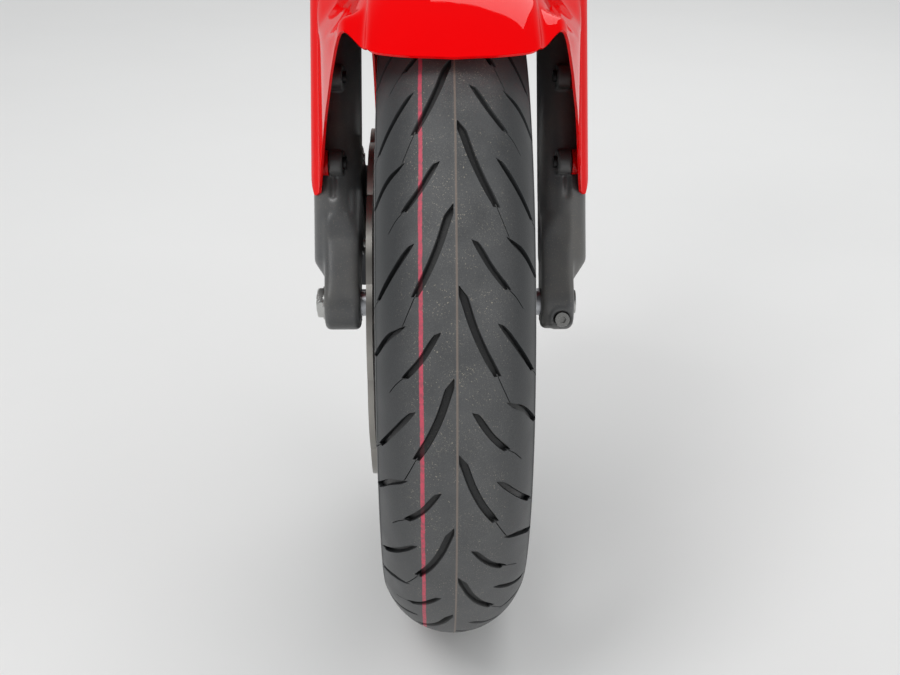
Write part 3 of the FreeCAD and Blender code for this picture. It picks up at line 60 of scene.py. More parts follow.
# Places read from the frame
JOINTS = {joint["name"]: joint for joint in frame["joints"]}
AXLE = Vector(JOINTS["wheel_spin"]["pos_m"])
STEERING_UP = Vector(JOINTS["steering"]["axis"])
RAKE = math.atan2(STEERING_UP.y, STEERING_UP.z)
FROM_FORK = Matrix.Translation(AXLE) @ Matrix.Rotation(-RAKE, 4, "X")
TYRE_LOW, TYRE_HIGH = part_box("tyre")
TYRE_RADIUS = (TYRE_HIGH.z - TYRE_LOW.z) / 2
CROWN_RADIUS = TYRE_RADIUS / MM

# Tyre, in millimetres
TREAD_EDGE_X = 57.0
TREAD_EDGE_DROP = 36.0
TREAD_ARC_RADIUS = (TREAD_EDGE_X ** 2 + TREAD_EDGE_DROP ** 2) / (2 * TREAD_EDGE_DROP)
TYRE_HALF_WIDTH = 60.0
RIM_SEAT_RADIUS = 218.6
# height of the widest place, as a share of the tyre's height over the rim's seats
BULGE_SHARE = 0.45
BULGE_RADIUS = RIM_SEAT_RADIUS + BULGE_SHARE * (CROWN_RADIUS - RIM_SEAT_RADIUS)
TREAD_EDGE_RADIUS = CROWN_RADIUS - TREAD_EDGE_DROP
BEAD_X = 44.3
BEAD_WIDTH = 12.0
TYRE_WALL = 6.0
CROWN_WALL = 9.0
TYRE_SEGMENTS = 300
TREAD_STEPS = 22
WALL_STEPS = 12
INNER_STEPS = 2
TYRE_SHARP_ANGLE = 32.0
MOULD_LINE_HALF_WIDTH = 0.8
MOULD_LINE_HEIGHT = 0.25
# half outlines of the section, as half width and radius: side wall down to the bead, bead, and inner face
WALL_LINE = (
    (TREAD_EDGE_X, TREAD_EDGE_RADIUS), (59.2, TREAD_EDGE_RADIUS - 4.5), (TYRE_HALF_WIDTH, BULGE_RADIUS),
    (59.2, BULGE_RADIUS - 7.5), (56.4, BULGE_RADIUS - 14.0), (51.6, RIM_SEAT_RADIUS + 17.6),
    (BEAD_X + 1.0, RIM_SEAT_RADIUS + 15.0),
)
BEAD_LINE = (
    (BEAD_X, RIM_SEAT_RADIUS + 11.0), (BEAD_X, RIM_SEAT_RADIUS + 0.5), (BEAD_X - 0.5, RIM_SEAT_RADIUS),
    (BEAD_X - BEAD_WIDTH, RIM_SEAT_RADIUS),
)
INNER_LINE = (
    (BEAD_X - BEAD_WIDTH, RIM_SEAT_RADIUS), (BEAD_X - 8.0, RIM_SEAT_RADIUS + 15.0),
    (TYRE_HALF_WIDTH - TYRE_WALL - 5.5, RIM_SEAT_RADIUS + 23.5), (TYRE_HALF_WIDTH - TYRE_WALL, BULGE_RADIUS),
    (TREAD_EDGE_X - 6.5, TREAD_EDGE_RADIUS + 2.0), (28.0, CROWN_RADIUS - CROWN_WALL - 7.0),
    (0.0, CROWN_RADIUS - CROWN_WALL),
)
# sunk rings in the side wall: lower and upper height over the rim's seat, depth
SIDE_RINGS = ((18.2, 19.4, 0.5), (22.0, 23.0, 0.4), (41.0, 42.2, 0.5))

# Tread pattern. Each groove's centre line is a list of (arc from the middle in mm, degrees round the wheel
# from the long groove's upper end). The pattern repeats every PITCH degrees, and the other half is mirrored.
PITCH = 24.0
RIGHT_START = 50.7
LEFT_START = 38.0
GROOVE_DEPTH = 4.5
LONG_GROOVE = ((2.0, 0.0), (6.0, -2.0), (12.0, -5.5), (20.0, -9.0), (31.0, -12.8))
MIDDLE_GROOVE = ((13.6, 6.2), (26.0, 2.5), (40.0, -0.5))
SHOULDER_GROOVE = ((42.5, -17.1), (60.0, -19.3), (77.0, -22.3))
OUTER_GROOVE = ((33.5, -5.4), (50.0, -9.0), (70.0, -13.2))
LONG_SIPE = ((30.0, -12.4), (36.0, -14.8), (42.0, -17.1))
MIDDLE_SIPE = ((39.0, -0.2), (48.0, -1.6), (56.0, -3.3))
OUTER_SIPE = ((69.0, -13.0), (77.0, -14.3), (82.0, -15.2))
# centre line, width, depth, share of the width at the upper end, at the lower end, share of the length over
# which it reaches its width
GROOVES = (
    (LONG_GROOVE, 7.0, GROOVE_DEPTH, 0.14, 0.85, 0.2),
    (MIDDLE_GROOVE, 5.9, GROOVE_DEPTH - 0.5, 0.85, 0.85, 0.05),
    (SHOULDER_GROOVE, 5.8, 3.6, 0.85, 0.85, 0.05),
    (OUTER_GROOVE, 5.6, GROOVE_DEPTH - 0.5, 0.85, 0.85, 0.05),
    (LONG_SIPE, 0.9, 2.0, 0.8, 0.5, 0.2),
    (MIDDLE_SIPE, 0.9, 1.8, 0.8, 0.4, 0.2),
    (OUTER_SIPE, 0.9, 1.6, 0.8, 0.4, 0.2),
)
GROOVE_STEPS = 8
# how far a cutter stands out of the tread, and how wide its bottom is as a share of its top
CUTTER_HEIGHT = 1.5
CUTTER_BOTTOM = 0.66
# slant and share of the depth at a groove's upper end, and how fast both go over into the rest
END_SLANT = 0.35
END_DEPTH = 0.7
END_RATE = 5.0
# how fast the lower end reaches its full width
TAIL_RATE = 8.0
# least slope round the wheel that widens a section, which lies across the tyre
LEAST_SLOPE = 0.45

# Mudguard, in millimetres in the fork frame
GUARD_WALL = 2.2
GUARD_GAP = 14.8
GUARD_RADIUS = CROWN_RADIUS + GUARD_GAP + GUARD_WALL
GUARD_FRONT_ANGLE = 56.6
GUARD_REAR_ANGLE = 62.0
GUARD_EDGE = 0.7
GUARD_SHARP_ANGLE = 50.0
LEG_X = 104.0
LEG_Y = 5.0
LEG_RADIUS = 22.5
SLEEVE_RADIUS = 25.0
SLEEVE_FRONT = 14.0
SLEEVE_REAR = 27.0
SLEEVE_TOP_DROP = 29.0
SKIRT_TIP_FRONT = 9.0
SKIRT_TIP_HEIGHT = 98.0
SKIRT_FRONT_SLOPE = 0.49
SKIRT_REAR_SLOPE = 1.75
SKIRT_LEAST_HEIGHT = 9.0
RIDGE_RADIUS = 7.0
# most of the skirt's height that the ridge's rounding takes
RIDGE_SHARE = 0.45
# valley and roof between crown and ridge, as shares of the way, and how deep the valley is
VALLEY_SHARE = 0.17
VALLEY_DEPTH = 1.4
ROOF_SHARE = 0.55
# crown's half section: half width, drop below the crown's middle
CROWN = ((0.0, 0.0), (20.0, 0.8), (38.0, 3.0), (52.0, 5.8), (61.0, 9.0), (65.4, 11.8), (67.2, 14.8))
# side wall behind the legs: half width, drop below the crown's middle
SIDE_WALL = ((71.0, 16.5), (74.4, 22.0), (76.0, 30.0), (76.0, 38.0), (76.0, 46.0))
# front lip seen square to the crown: half width, how far behind the lip's middle
LIP = (
    (0.0, 0.0), (25.0, 2.6), (40.0, 5.8), (51.0, 9.6), (58.0, 13.2), (62.0, 16.8), (66.0, 22.6), (70.0, 30.0),
    (75.0, 39.8), (79.0, 47.6), (83.0, 54.0), (87.0, 56.8), (91.0, 57.6), (97.0, 57.6), (125.0, 55.0),
)
# wing, front to back: place behind the axle, ridge's half width, ridge below the crown's radius, half width
# at the lower edge, how far the roof between crown and ridge bulges
WING = (
    (-224.0, 82.0, 24.0, 85.0, 0.0),
    (-200.0, 88.0, 21.0, 92.0, -1.5),
    (-188.0, 91.0, 31.0, 94.5, -3.0),
    (-160.0, 99.5, 51.0, 99.7, -4.0),
    (-120.0, 108.0, 67.0, 106.5, -3.0),
    (-60.0, 116.0, 67.0, 114.3, 2.0),
    (-30.0, 119.6, 48.0, 118.2, 6.0),
    (-14.0, 120.4, 34.0, 120.4, 7.0),
)
# rows of the wing follow the lip less and less up to this place
LIP_FADE_Y = -140.0
# how far in front of the lip's middle the search for the lip starts, and how often it halves its stretch
LIP_SEARCH_REACH = 5.0
LIP_HALVINGS = 24
# gaps between the first rows, between the next, between those round the sleeves, least gap before the last
# row, and degrees between the rows behind the legs
LIP_ROWS = (1.5, 2.0)
ROW_GAP = 5.5
SLEEVE_ROWS_FROM = -24.0
SLEEVE_ROW_GAP = 2.2
LAST_ROW_GAP = 2.0
REAR_ROW_DEGREES = 1.2
SECTION_STEPS = 4
SKIRT_STEPS = 8
# holes for each leg: radius and lower end, with one upper end for both
LEG_ROOM = 0.3
LEG_HOLES = ((LEG_RADIUS + LEG_ROOM, -60.0), (27.5, 301.0))
LEG_HOLE_TOP = 380.0
CYLINDER_SIDES = 48
# lugs on the sliders that carry the mudguard, and the bosses that meet them
EAR_Y = -23.5
EAR_OUTER_X = 110.5
EAR_HEIGHTS = (127.0, 205.0)
BOSS_RADIUS = 11.5
BOSS_EDGE = 1.0
BOSS_SHARP_ANGLE = 40.0
BOSS_CUT_REACH = 30.0

# Castings: node, size of the remesh's cells in mm, rounds of smoothing, finish
CASTINGS = (
    ("slider_left", 1.25, 9, "fork_paint"),
    ("slider_right", 1.25, 9, "fork_paint"),
    ("caliper", 1.2, 7, "caliper_paint"),
    ("lower_yoke", 1.6, 5, "yoke_alloy"),
    ("upper_yoke", 1.6, 5, "yoke_alloy"),
)
CASTING_SHARP_ANGLE = 60.0
# sides of the machine that the sliders are on
SLIDER_SIDES = {"slider_left": 1, "slider_right": -1}
# how far off a leg's cylinder a remeshed point may lie and still belong to it
LEG_REACH = 0.4
# blend of a slider's foot into its leg: rounds and levels of strength; each edge with the length over which
# the blend grows from nothing
FOOT_BLEND_ROUNDS = 50
FOOT_BLEND_LEVELS = 8
FOOT_BLEND_LOW = (6.0, 12.0)
FOOT_BLEND_HIGH = (104.0, 14.0)
FOOT_BLEND_REAR = (30.0, 8.0)
FOOT_BLEND_BORE = (14.0, 6.0)

# Machined and turned pieces: points nearer than this in metres become one, and faces flatter to each other
# than this in degrees too
WELD_DISTANCE = 0.00001
FLAT_ANGLE = 1.0
MACHINED_SHARP_ANGLE = 35.0
# node, the body it rides on, how much its edges are broken in mm, finish
MACHINED = (
    ("pinch_bolt", "fork", 0.5, "bright_steel"),
    ("axle_nut", "fork", 0.5, "bright_steel"),
    ("axle", "fork", 0.5, "bright_steel"),
    ("mudguard_bolts", "fork", 0.5, "black_steel"),
    ("disc_bolts", "wheel", 0.4, "black_steel"),
    ("disc_bobbins", "wheel", 0.3, "bright_steel"),
    ("disc_carrier", "wheel", 0.7, "carrier_alloy"),
    ("caliper_bolts", "fork", 0.4, "bright_steel"),
    ("caliper_bracket", "fork", 0.8, "caliper_paint"),
    ("yoke_bolts", "fork", 0.4, "black_steel"),
    ("fork_cap_left", "fork", 0.6, "cap_alloy"),
    ("fork_cap_right", "fork", 0.6, "cap_alloy"),
    ("stem_nut", "fork", 0.6, "cap_alloy"),
    ("adjuster_nut", "fork", 0.4, "bright_steel"),
    ("dust_seal_left", "fork", 0.8, "black_rubber"),
    ("dust_seal_right", "fork", 0.8, "black_rubber"),
)

# Camera, from the photograph: its distance, elevation and sideways place as seen from the axle's middle in
# metres and degrees, and how far it looks down and to the left
CAMERA_DISTANCE = 1.255
CAMERA_ELEVATION = 24.5
CAMERA_X = -0.017
CAMERA_YAW = 0.82
CAMERA_PITCH = 26.0
SENSOR_WIDTH = 36.0
LENS = 54.0
CLIP_START = 0.05

# Floor, light and backdrop
FLOOR_Z = TYRE_LOW.z
FLOOR_HALF_SIZE = 60.0
FLOOR_TONE = 0.80
WORLD_COLOUR = (0.98, 0.99, 1.0, 1.0)
WORLD_LIGHT = 0.72
# the lit floor's share of its own tone near the horizon, which the backdrop takes up
BACKDROP_MATCH = 0.925
# the backdrop goes from that to a darker tone overhead, between two heights of the direction looked in
BACKDROP_FADE = (0.16, 0.7)
OVERHEAD_TONE = 0.15
# name, place, point aimed at, size, watts
LAMPS = (
    ("key", (-1.1, -1.6, 1.9), (0.0, -0.3, -0.35), 1.0, 26.0),
    ("fill", (1.9, -1.4, 0.7), (0.0, -0.3, -0.35), 1.6, 6.0),
    ("rim", (0.6, 1.8, 1.6), (0.0, -0.2, -0.2), 1.4, 16.0),
)


# Mesh helpers

def add_object(name, mesh):
    piece = bpy.data.objects.new(name, mesh)
    bpy.context.scene.collection.objects.link(piece)
    return piece


def mesh_object(name, vertices, faces):
    mesh = bpy.data.meshes.new(name)
    mesh.from_pydata([tuple(v) for v in vertices], [], faces)
    mesh.update()
    return add_object(name, mesh)


def apply_modifiers(piece):
    """Replace an object's mesh by the result of its modifiers."""
    depsgraph = bpy.context.evaluated_depsgraph_get()
    mesh = bpy.data.meshes.new_from_object(piece.evaluated_get(depsgraph))
    piece.modifiers.clear()
    old = piece.data
    piece.data = mesh
    bpy.data.meshes.remove(old)


def smooth(piece, degrees):
    """Smooth shading, with edges sharper than an angle kept sharp."""
    mesh = piece.data
    mesh.polygons.foreach_set("use_smooth", [True] * len(mesh.polygons))
    mesh.set_sharp_from_angle(angle=math.radians(degrees))


def cut_away(piece, cutter):
    """Cut one object out of another and remove it."""
    modifier = piece.modifiers.new("cut", "BOOLEAN")
    modifier.object = cutter
    modifier.operation = "DIFFERENCE"
    modifier.solver = "MANIFOLD"
    apply_modifiers(piece)
    mesh = cutter.data
    bpy.data.objects.remove(cutter)
    bpy.data.meshes.remove(mesh)


def soften(piece, width, degrees):
    """Round the edges sharper than an angle, by a width in millimetres."""
    modifier = piece.modifiers.new("edge", "BEVEL")
    modifier.width = width * MM
    modifier.segments = 2
    modifier.limit_method = "ANGLE"
    modifier.angle_limit = math.radians(degrees)
    modifier.use_clamp_overlap = True
    modifier.harden_normals = True
    smooth(piece, degrees)
    apply_modifiers(piece)


def paint(piece, material):
    """One material over the whole of a piece."""
    piece.data.materials.clear()
    piece.data.materials.append(material)
    piece.data.polygons.foreach_set("material_index", [0] * len(piece.data.polygons))


def dress(piece, material, body, node):
    """Paint a piece, let it ride on a body and hide the frame node that it stands for."""
    paint(piece, material)
    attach(piece, body)
    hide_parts(node)


def catmull(points, steps):
    """Smooth line through the points, as a denser list."""
    points = [Vector(p) for p in points]
    ends = [points[0] * 2 - points[1]] + points + [points[-1] * 2 - points[-2]]
    dense = []
    for k in range(len(points) - 1):
        a, b, c, d = ends[k:k + 4]
        for s in range(steps):
            t = s / steps
            dense.append(0.5 * (2 * b + (c - a) * t + (2 * a - 5 * b + 4 * c - d) * t * t
                                + (3 * b - a - 3 * c + d) * t ** 3))
    dense.append(points[-1])
    return dense


def catmull_flat(points, steps):
    """The same for flat points, as (x, y) pairs."""
    return [(p.x, p.y) for p in catmull([(x, y, 0.0) for x, y in points], steps)]


# Materials

def set_input(target, value):
    """Give an input a link, or a value of its own."""
    if isinstance(value, bpy.types.NodeSocket):
        target.id_data.links.new(value, target)
    else:
        target.default_value = value


def set_inputs(node, inputs):
    for key, value in inputs.items():
        set_input(node.inputs[key], value)


def node_adder(tree):
    """Function that adds a node to a tree, with a value or a link at each named input."""
    def add(kind, inputs=None, **settings):
        node = tree.nodes.new(kind)
        for key, value in settings.items():
            setattr(node, key, value)
        set_inputs(node, inputs or {})
        return node
    return add


def shader(name):
    """A new material with its Principled shader, and a function that adds nodes to it."""
    material = bpy.data.materials.new(name)
    material.use_nodes = True
    tree = material.node_tree
    return material, tree.nodes["Principled BSDF"], node_adder(tree)


def srgb(red, green, blue):
    """Colour written as 0 to 255, as linear values."""
    def channel(v):
        v /= 255
        return v / 12.92 if v <= 0.04045 else ((v + 0.055) / 1.055) ** 2.4
    return (channel(red), channel(green), channel(blue), 1.0)


def ramp(add, factor, *stops):
    """Colour ramp with (place, colour) stops."""
    node = add("ShaderNodeValToRGB", {"Fac": factor})
    elements = node.color_ramp.elements
    while len(elements) < len(stops):
        elements.new(0.5)
    for element, (place, colour) in zip(elements, stops):
        element.position = place
        element.color = colour
    return node.outputs["Color"]


def mix(add, factor, a, b):
    """Colour between two colours."""
    node = add("ShaderNodeMix", data_type="RGBA")
    for socket, value in (("Factor", factor), ("A", a), ("B", b)):
        kind = "VALUE" if socket == "Factor" else "RGBA"
        target = next(i for i in node.inputs if i.name == socket and i.enabled and i.type == kind)
        set_input(target, value)
    return next(o for o in node.outputs if o.enabled and o.type == "RGBA")


def math_node(add, operation, a, b=0.0):
    return add("ShaderNodeMath", {0: a, 1: b}, operation=operation).outputs[0]


def plus(add, a, b):
    return math_node(add, "ADD", a, b)


def minus(add, a, b):
    return math_node(add, "SUBTRACT", a, b)


def times(add, a, b):
    return math_node(add, "MULTIPLY", a, b)


def map_range(add, value, low, high, first=0.0, last=1.0, **settings):
    """Value that goes from first to last while another goes from low to high."""
    return add("ShaderNodeMapRange", {"Value": value, "From Min": low, "From Max": high, "To Min": first,
                                      "To Max": last}, **settings).outputs["Result"]


def noise(add, vector, scale, detail=4.0, roughness=0.55):
    return add("ShaderNodeTexNoise", {"Vector": vector, "Scale": scale, "Detail": detail,
                                      "Roughness": roughness}).outputs["Fac"]


def swing(add, vector, scale, size):
    """Noise that swings round nought."""
    return times(add, minus(add, noise(add, vector, scale), 0.5), size)


def object_place(add):
    return add("ShaderNodeTexCoord").outputs["Object"]


def grainy(add, strength, distance, height):
    """Normals of a surface that a height moves in and out by up to a distance."""
    return add("ShaderNodeBump", {"Strength": strength, "Distance": distance,
                                  "Height": height}).outputs["Normal"]


def shade(colour, factor):
    """Colour made darker or lighter by a factor."""
    return tuple(min(1.0, c * factor) for c in colour[:3]) + (1.0,)


def lacquer(name, colour):
    """Deep gloss paint under a clear coat, hardly uneven."""
    material, bsdf, add = shader(name)
    base = ramp(add, noise(add, object_place(add), 9.0), (0.35, shade(colour, 0.96)), (0.65, colour))
    set_inputs(bsdf, {"Base Color": base, "Roughness": 0.38, "Specular IOR Level": 0.0, "Coat Weight": 0.6,
                      "Coat Roughness": 0.03, "Coat IOR": 1.4})
    return material


def dusty_paint(name, colour, dust):
    """Dark metallic paint with fine road dust on it."""
    material, bsdf, add = shader(name)
    place = object_place(add)
    base = ramp(add, noise(add, place, 18.0), (0.3, shade(colour, 0.94)), (0.7, colour))
    film = map_range(add, noise(add, place, 14.0), 0.42, 0.72, 0.0, 0.22)
    base = mix(add, film, base, dust)
    specks = map_range(add, noise(add, place, 900.0, 3.0, 0.7), 0.60, 0.68)
    base = mix(add, times(add, specks, 0.45), base, dust)
    rough = plus(add, times(add, film, 0.8), 0.32)
    set_inputs(bsdf, {"Base Color": base, "Roughness": rough, "Metallic": 0.2})
    return material


def surface(name, colour, roughness, metallic=0.0, variation=0.06, bump=0.02):
    """Painted, moulded or metal surface with uneven colour, uneven gloss and a fine grain."""
    material, bsdf, add = shader(name)
    place = object_place(add)
    base = ramp(add, noise(add, place, 18.0), (0.3, shade(colour, 1 - variation)),
                (0.7, shade(colour, 1 + variation)))
    rough = map_range(add, noise(add, place, 60.0), 0.3, 0.7, max(0.02, roughness - 0.025), roughness + 0.025)
    grain = grainy(add, bump, 0.0004, noise(add, place, 900.0, 2.0))
    set_inputs(bsdf, {"Base Color": base, "Roughness": rough, "Metallic": metallic, "Normal": grain})
    return material


FRESH_RUBBER = srgb(46, 48, 50)
WORN_RUBBER = srgb(84, 85, 86)
# painted shade in the grooves, darker than the clean rubber
GROOVE_PAINTED_SHADE = srgb(20, 21, 22)
PAINTED_LINE = srgb(204, 74, 96)
MOULD_LINE = srgb(140, 124, 112)
# in metres: where the lines lie sideways of the tyre's middle, and how far from their own middle they start
# to fade and end
PAINTED_LINE_X = -0.0253
PAINTED_LINE_FADE = (0.0012, 0.0017)
MOULD_LINE_X = 0.0004
MOULD_LINE_FADE = (0.0005, 0.0010)
# in metres: how far from the middle the dust fades and ends, how deep in a groove the painted shade starts
# and is full, and how far from the middle that fades and ends
DUST_FADE = (0.022, 0.052)
GROOVE_SHADE_FADE = (0.0004, 0.0022)
GROOVE_SHADE_END_FADE = (0.0555, 0.0570)
# grit: noise's scale, where it starts to show, where it is full, its share, scale of its patches, colour
GRIT = (
    (700.0, 0.61, 0.68, 0.7, 55.0, srgb(176, 168, 150)),
    (1250.0, 0.60, 0.66, 0.5, 26.0, srgb(150, 146, 138)),
)


def dusty_tread(add, place, middle, cloud, pebble):
    """Rubber that dust makes paler towards the middle of the tread, with grit in patches."""
    share = plus(add, times(add, middle, plus(add, cloud, 0.3)), times(add, minus(add, pebble, 0.5), 0.9))
    base = mix(add, share, FRESH_RUBBER, WORN_RUBBER)
    for scale, low, high, most, patch_scale, tone in GRIT:
        grit = map_range(add, noise(add, place, scale, 3.0, 0.7), low, high)
        patches = map_range(add, noise(add, place, patch_scale), 0.38, 0.60)
        grit = times(add, grit, times(add, patches, middle))
        base = mix(add, times(add, grit, most), base, tone)
    return base


def painted_line(add, place, x):
    """Share of a line painted along the tread, which wobbles, has ragged edges and is worn in spots."""
    middle = plus(add, plus(add, x, -PAINTED_LINE_X), swing(add, place, 22.0, 0.0018))
    offset = plus(add, math_node(add, "ABSOLUTE", middle), swing(add, place, 480.0, 0.0012))
    line = map_range(add, offset, *PAINTED_LINE_FADE, 1.0, 0.0)
    worn = map_range(add, noise(add, place, 300.0), 0.3, 0.6, 0.45, 0.95)
    return times(add, line, worn)


def mould_line(add, x):
    """Share of the fine line that the mould leaves in the middle."""
    offset = math_node(add, "ABSOLUTE", minus(add, x, MOULD_LINE_X))
    return times(add, map_range(add, offset, *MOULD_LINE_FADE, 1.0, 0.0), 0.55)


def painted_groove_shade(add, split, across):
    """Share of painted shade, full in the grooves and nought on the tread's surface and the side walls."""
    y = minus(add, split["Y"], AXLE.y)
    z = minus(add, split["Z"], AXLE.z)
    radius = math_node(add, "SQRT", plus(add, times(add, y, y), times(add, z, z)))
    arc = TREAD_ARC_RADIUS * MM
    squared = minus(add, arc ** 2, times(add, split["X"], split["X"]))
    height = math_node(add, "SQRT", math_node(add, "MAXIMUM", squared, 0.0))
    tread = plus(add, height, TYRE_RADIUS - arc)
    sunk = map_range(add, minus(add, tread, radius), *GROOVE_SHADE_FADE)
    on_tread = map_range(add, across, *GROOVE_SHADE_END_FADE, 1.0, 0.0)
    return times(add, times(add, sunk, on_tread), 0.8)


def tyre_rubber():
    """Road tyre: dusty grey tread, painted and mould lines, painted groove shade, darker glossier sides."""
    material, bsdf, add = shader("tyre_rubber")
    place = object_place(add)
    split = add("ShaderNodeSeparateXYZ", {"Vector": place}).outputs
    across = math_node(add, "ABSOLUTE", split["X"])
    middle = map_range(add, across, *DUST_FADE, 1.0, 0.0, interpolation_type="SMOOTHSTEP")
    cloud = noise(add, place, 40.0)
    pebble = noise(add, place, 1300.0, 2.0, 0.6)
    base = dusty_tread(add, place, middle, cloud, pebble)
    base = mix(add, painted_line(add, place, split["X"]), base, PAINTED_LINE)
    base = mix(add, mould_line(add, split["X"]), base, MOULD_LINE)
    # painted shade in the grooves, darker than the clean rubber; it also covers most of the dust and the painted
    # line there
    base = mix(add, painted_groove_shade(add, split, across), base, GROOVE_PAINTED_SHADE)
    rough = plus(add, times(add, middle, 0.18), 0.40)
    rough = plus(add, rough, times(add, minus(add, cloud, 0.5), 0.2))
    set_inputs(bsdf, {"Base Color": base, "Roughness": rough, "Normal": grainy(add, 0.3, 0.0003, pebble)})
    return material


# Tyre

def tread_place(arc, degrees, height):
    """Point at an arc distance from the middle, an angle above the front, and a height over the tread."""
    bend = arc / TREAD_ARC_RADIUS
    x = (TREAD_ARC_RADIUS + height) * math.sin(bend)
    radius = CROWN_RADIUS - TREAD_ARC_RADIUS + (TREAD_ARC_RADIUS + height) * math.cos(bend)
    a = math.radians(degrees)
    return AXLE + MM * Vector((x, -radius * math.cos(a), radius * math.sin(a)))


def groove_cutter(line, width, depth, first_share, last_share, rise, start, side):
    """Vertices and faces of one groove's cutter.

    Its sections lie across the tyre, so the ends are cut square.
    """
    flat = [Vector((arc, math.radians(degrees) * CROWN_RADIUS))
            for arc, degrees in catmull_flat(line, GROOVE_STEPS)]
    count = len(flat)
    vertices = []
    for k, centre in enumerate(flat):
        along = (flat[min(k + 1, count - 1)] - flat[max(k - 1, 0)]).normalized()
        share = k / (count - 1)
        swell = min(1.0, first_share + (1 - first_share) * share / rise,
                    last_share + (1 - last_share) * (1 - share) * TAIL_RATE)
        half = width * swell / 2 / max(LEAST_SLOPE, abs(along.y))
        slant = END_SLANT * max(0.0, 1.0 - share * END_RATE)
        deep = depth * min(1.0, END_DEPTH + share * END_RATE)
        foot = half * CUTTER_BOTTOM
        for reach, height in ((-half, CUTTER_HEIGHT), (half, CUTTER_HEIGHT), (foot, -deep), (-foot, -deep)):
            degrees = start + math.degrees((centre.y - reach * slant) / CROWN_RADIUS)
            vertices.append(tread_place(side * (centre.x + reach), degrees, height))
    faces = [(0, 1, 2, 3)]
    for k in range(count - 1):
        for corner in range(4):
            a, b = 4 * k + corner, 4 * k + (corner + 1) % 4
            faces.append((a, a + 4, b + 4, b))
    last = 4 * (count - 1)
    faces.append((last + 3, last + 2, last + 1, last))
    return vertices, faces


def tread_cutter():
    """All grooves and sipes of the tread, as one object."""
    vertices, faces = [], []
    for side, first in ((1, RIGHT_START), (-1, LEFT_START)):
        for repeat in range(round(360 / PITCH)):
            for row in GROOVES:
                points, quads = groove_cutter(*row, first - PITCH * repeat, side)
                base = len(vertices)
                vertices += points
                faces += [tuple(base + i for i in quad) for quad in quads]
    cutter = mesh_object("tread_cutter", vertices, faces)
    rebuild = bmesh.new()
    rebuild.from_mesh(cutter.data)
    bmesh.ops.recalc_face_normals(rebuild, faces=rebuild.faces)
    rebuild.to_mesh(cutter.data)
    rebuild.free()
    return cutter


def tyre_profile():
    """Closed outline of the tyre's section as (x, radius) in millimetres, starting at the crown."""
    edge_bend = math.asin(TREAD_EDGE_X / TREAD_ARC_RADIUS)
    half = [(0.0, CROWN_RADIUS + MOULD_LINE_HEIGHT), (MOULD_LINE_HALF_WIDTH, CROWN_RADIUS)]
    for k in range(1, TREAD_STEPS + 1):
        bend = edge_bend * k / TREAD_STEPS
        drop = TREAD_ARC_RADIUS * (1 - math.cos(bend))
        half.append((TREAD_ARC_RADIUS * math.sin(bend), CROWN_RADIUS - drop))
    for x, radius in catmull_flat(WALL_LINE, WALL_STEPS)[1:]:
        height = radius - RIM_SEAT_RADIUS
        ring = next((depth for low, high, depth in SIDE_RINGS if low < height < high), 0.0)
        half.append((x - ring, radius))
    half += BEAD_LINE
    half += catmull_flat(INNER_LINE, INNER_STEPS)[1:]
    other_half = [(-x, radius) for x, radius in reversed(half[1:-1])]
    return half + other_half


def build_tyre():
    """Turn the tyre's section round the axle and cut the tread in."""
    profile = tyre_profile()
    count = len(profile)
    vertices, faces = [], []
    for k in range(TYRE_SEGMENTS):
        a = 2 * math.pi * k / TYRE_SEGMENTS
        ahead = (k + 1) % TYRE_SEGMENTS
        for j, (x, radius) in enumerate(profile):
            vertices.append(AXLE + MM * Vector((x, -radius * math.cos(a), radius * math.sin(a))))
            after = (j + 1) % count
            faces.append((k * count + j, k * count + after, ahead * count + after, ahead * count + j))
    tyre = mesh_object("tyre_skin", vertices, faces)
    cut_away(tyre, tread_cutter())
    smooth(tyre, TYRE_SHARP_ANGLE)
    dress(tyre, tyre_rubber(), "wheel", "tyre")


# Mudguard

def smooth_between(table, at, column):
    """Value of a table's column at a place in its first column, smooth through its rows."""
    k = next((i for i in range(len(table) - 2) if at <= table[i + 1][0]), len(table) - 2)
    a, b = table[k], table[k + 1]
    before, after = table[max(k - 1, 0)], table[min(k + 2, len(table) - 1)]
    span = b[0] - a[0]
    t = min(1.0, max(0.0, (at - a[0]) / span))
    slope_a = (b[column] - before[column]) / (b[0] - before[0]) * span
    slope_b = (after[column] - a[column]) / (after[0] - a[0]) * span
    return (a[column] * (2 * t ** 3 - 3 * t ** 2 + 1) + slope_a * (t ** 3 - 2 * t ** 2 + t)
            + b[column] * (3 * t ** 2 - 2 * t ** 3) + slope_b * (t ** 3 - t ** 2))


def on_drum(x, y, drop):
    """Point over the tyre at a drop below the mudguard's crown."""
    return Vector((x, y, math.sqrt(max(1.0, (GUARD_RADIUS - drop) ** 2 - y ** 2))))


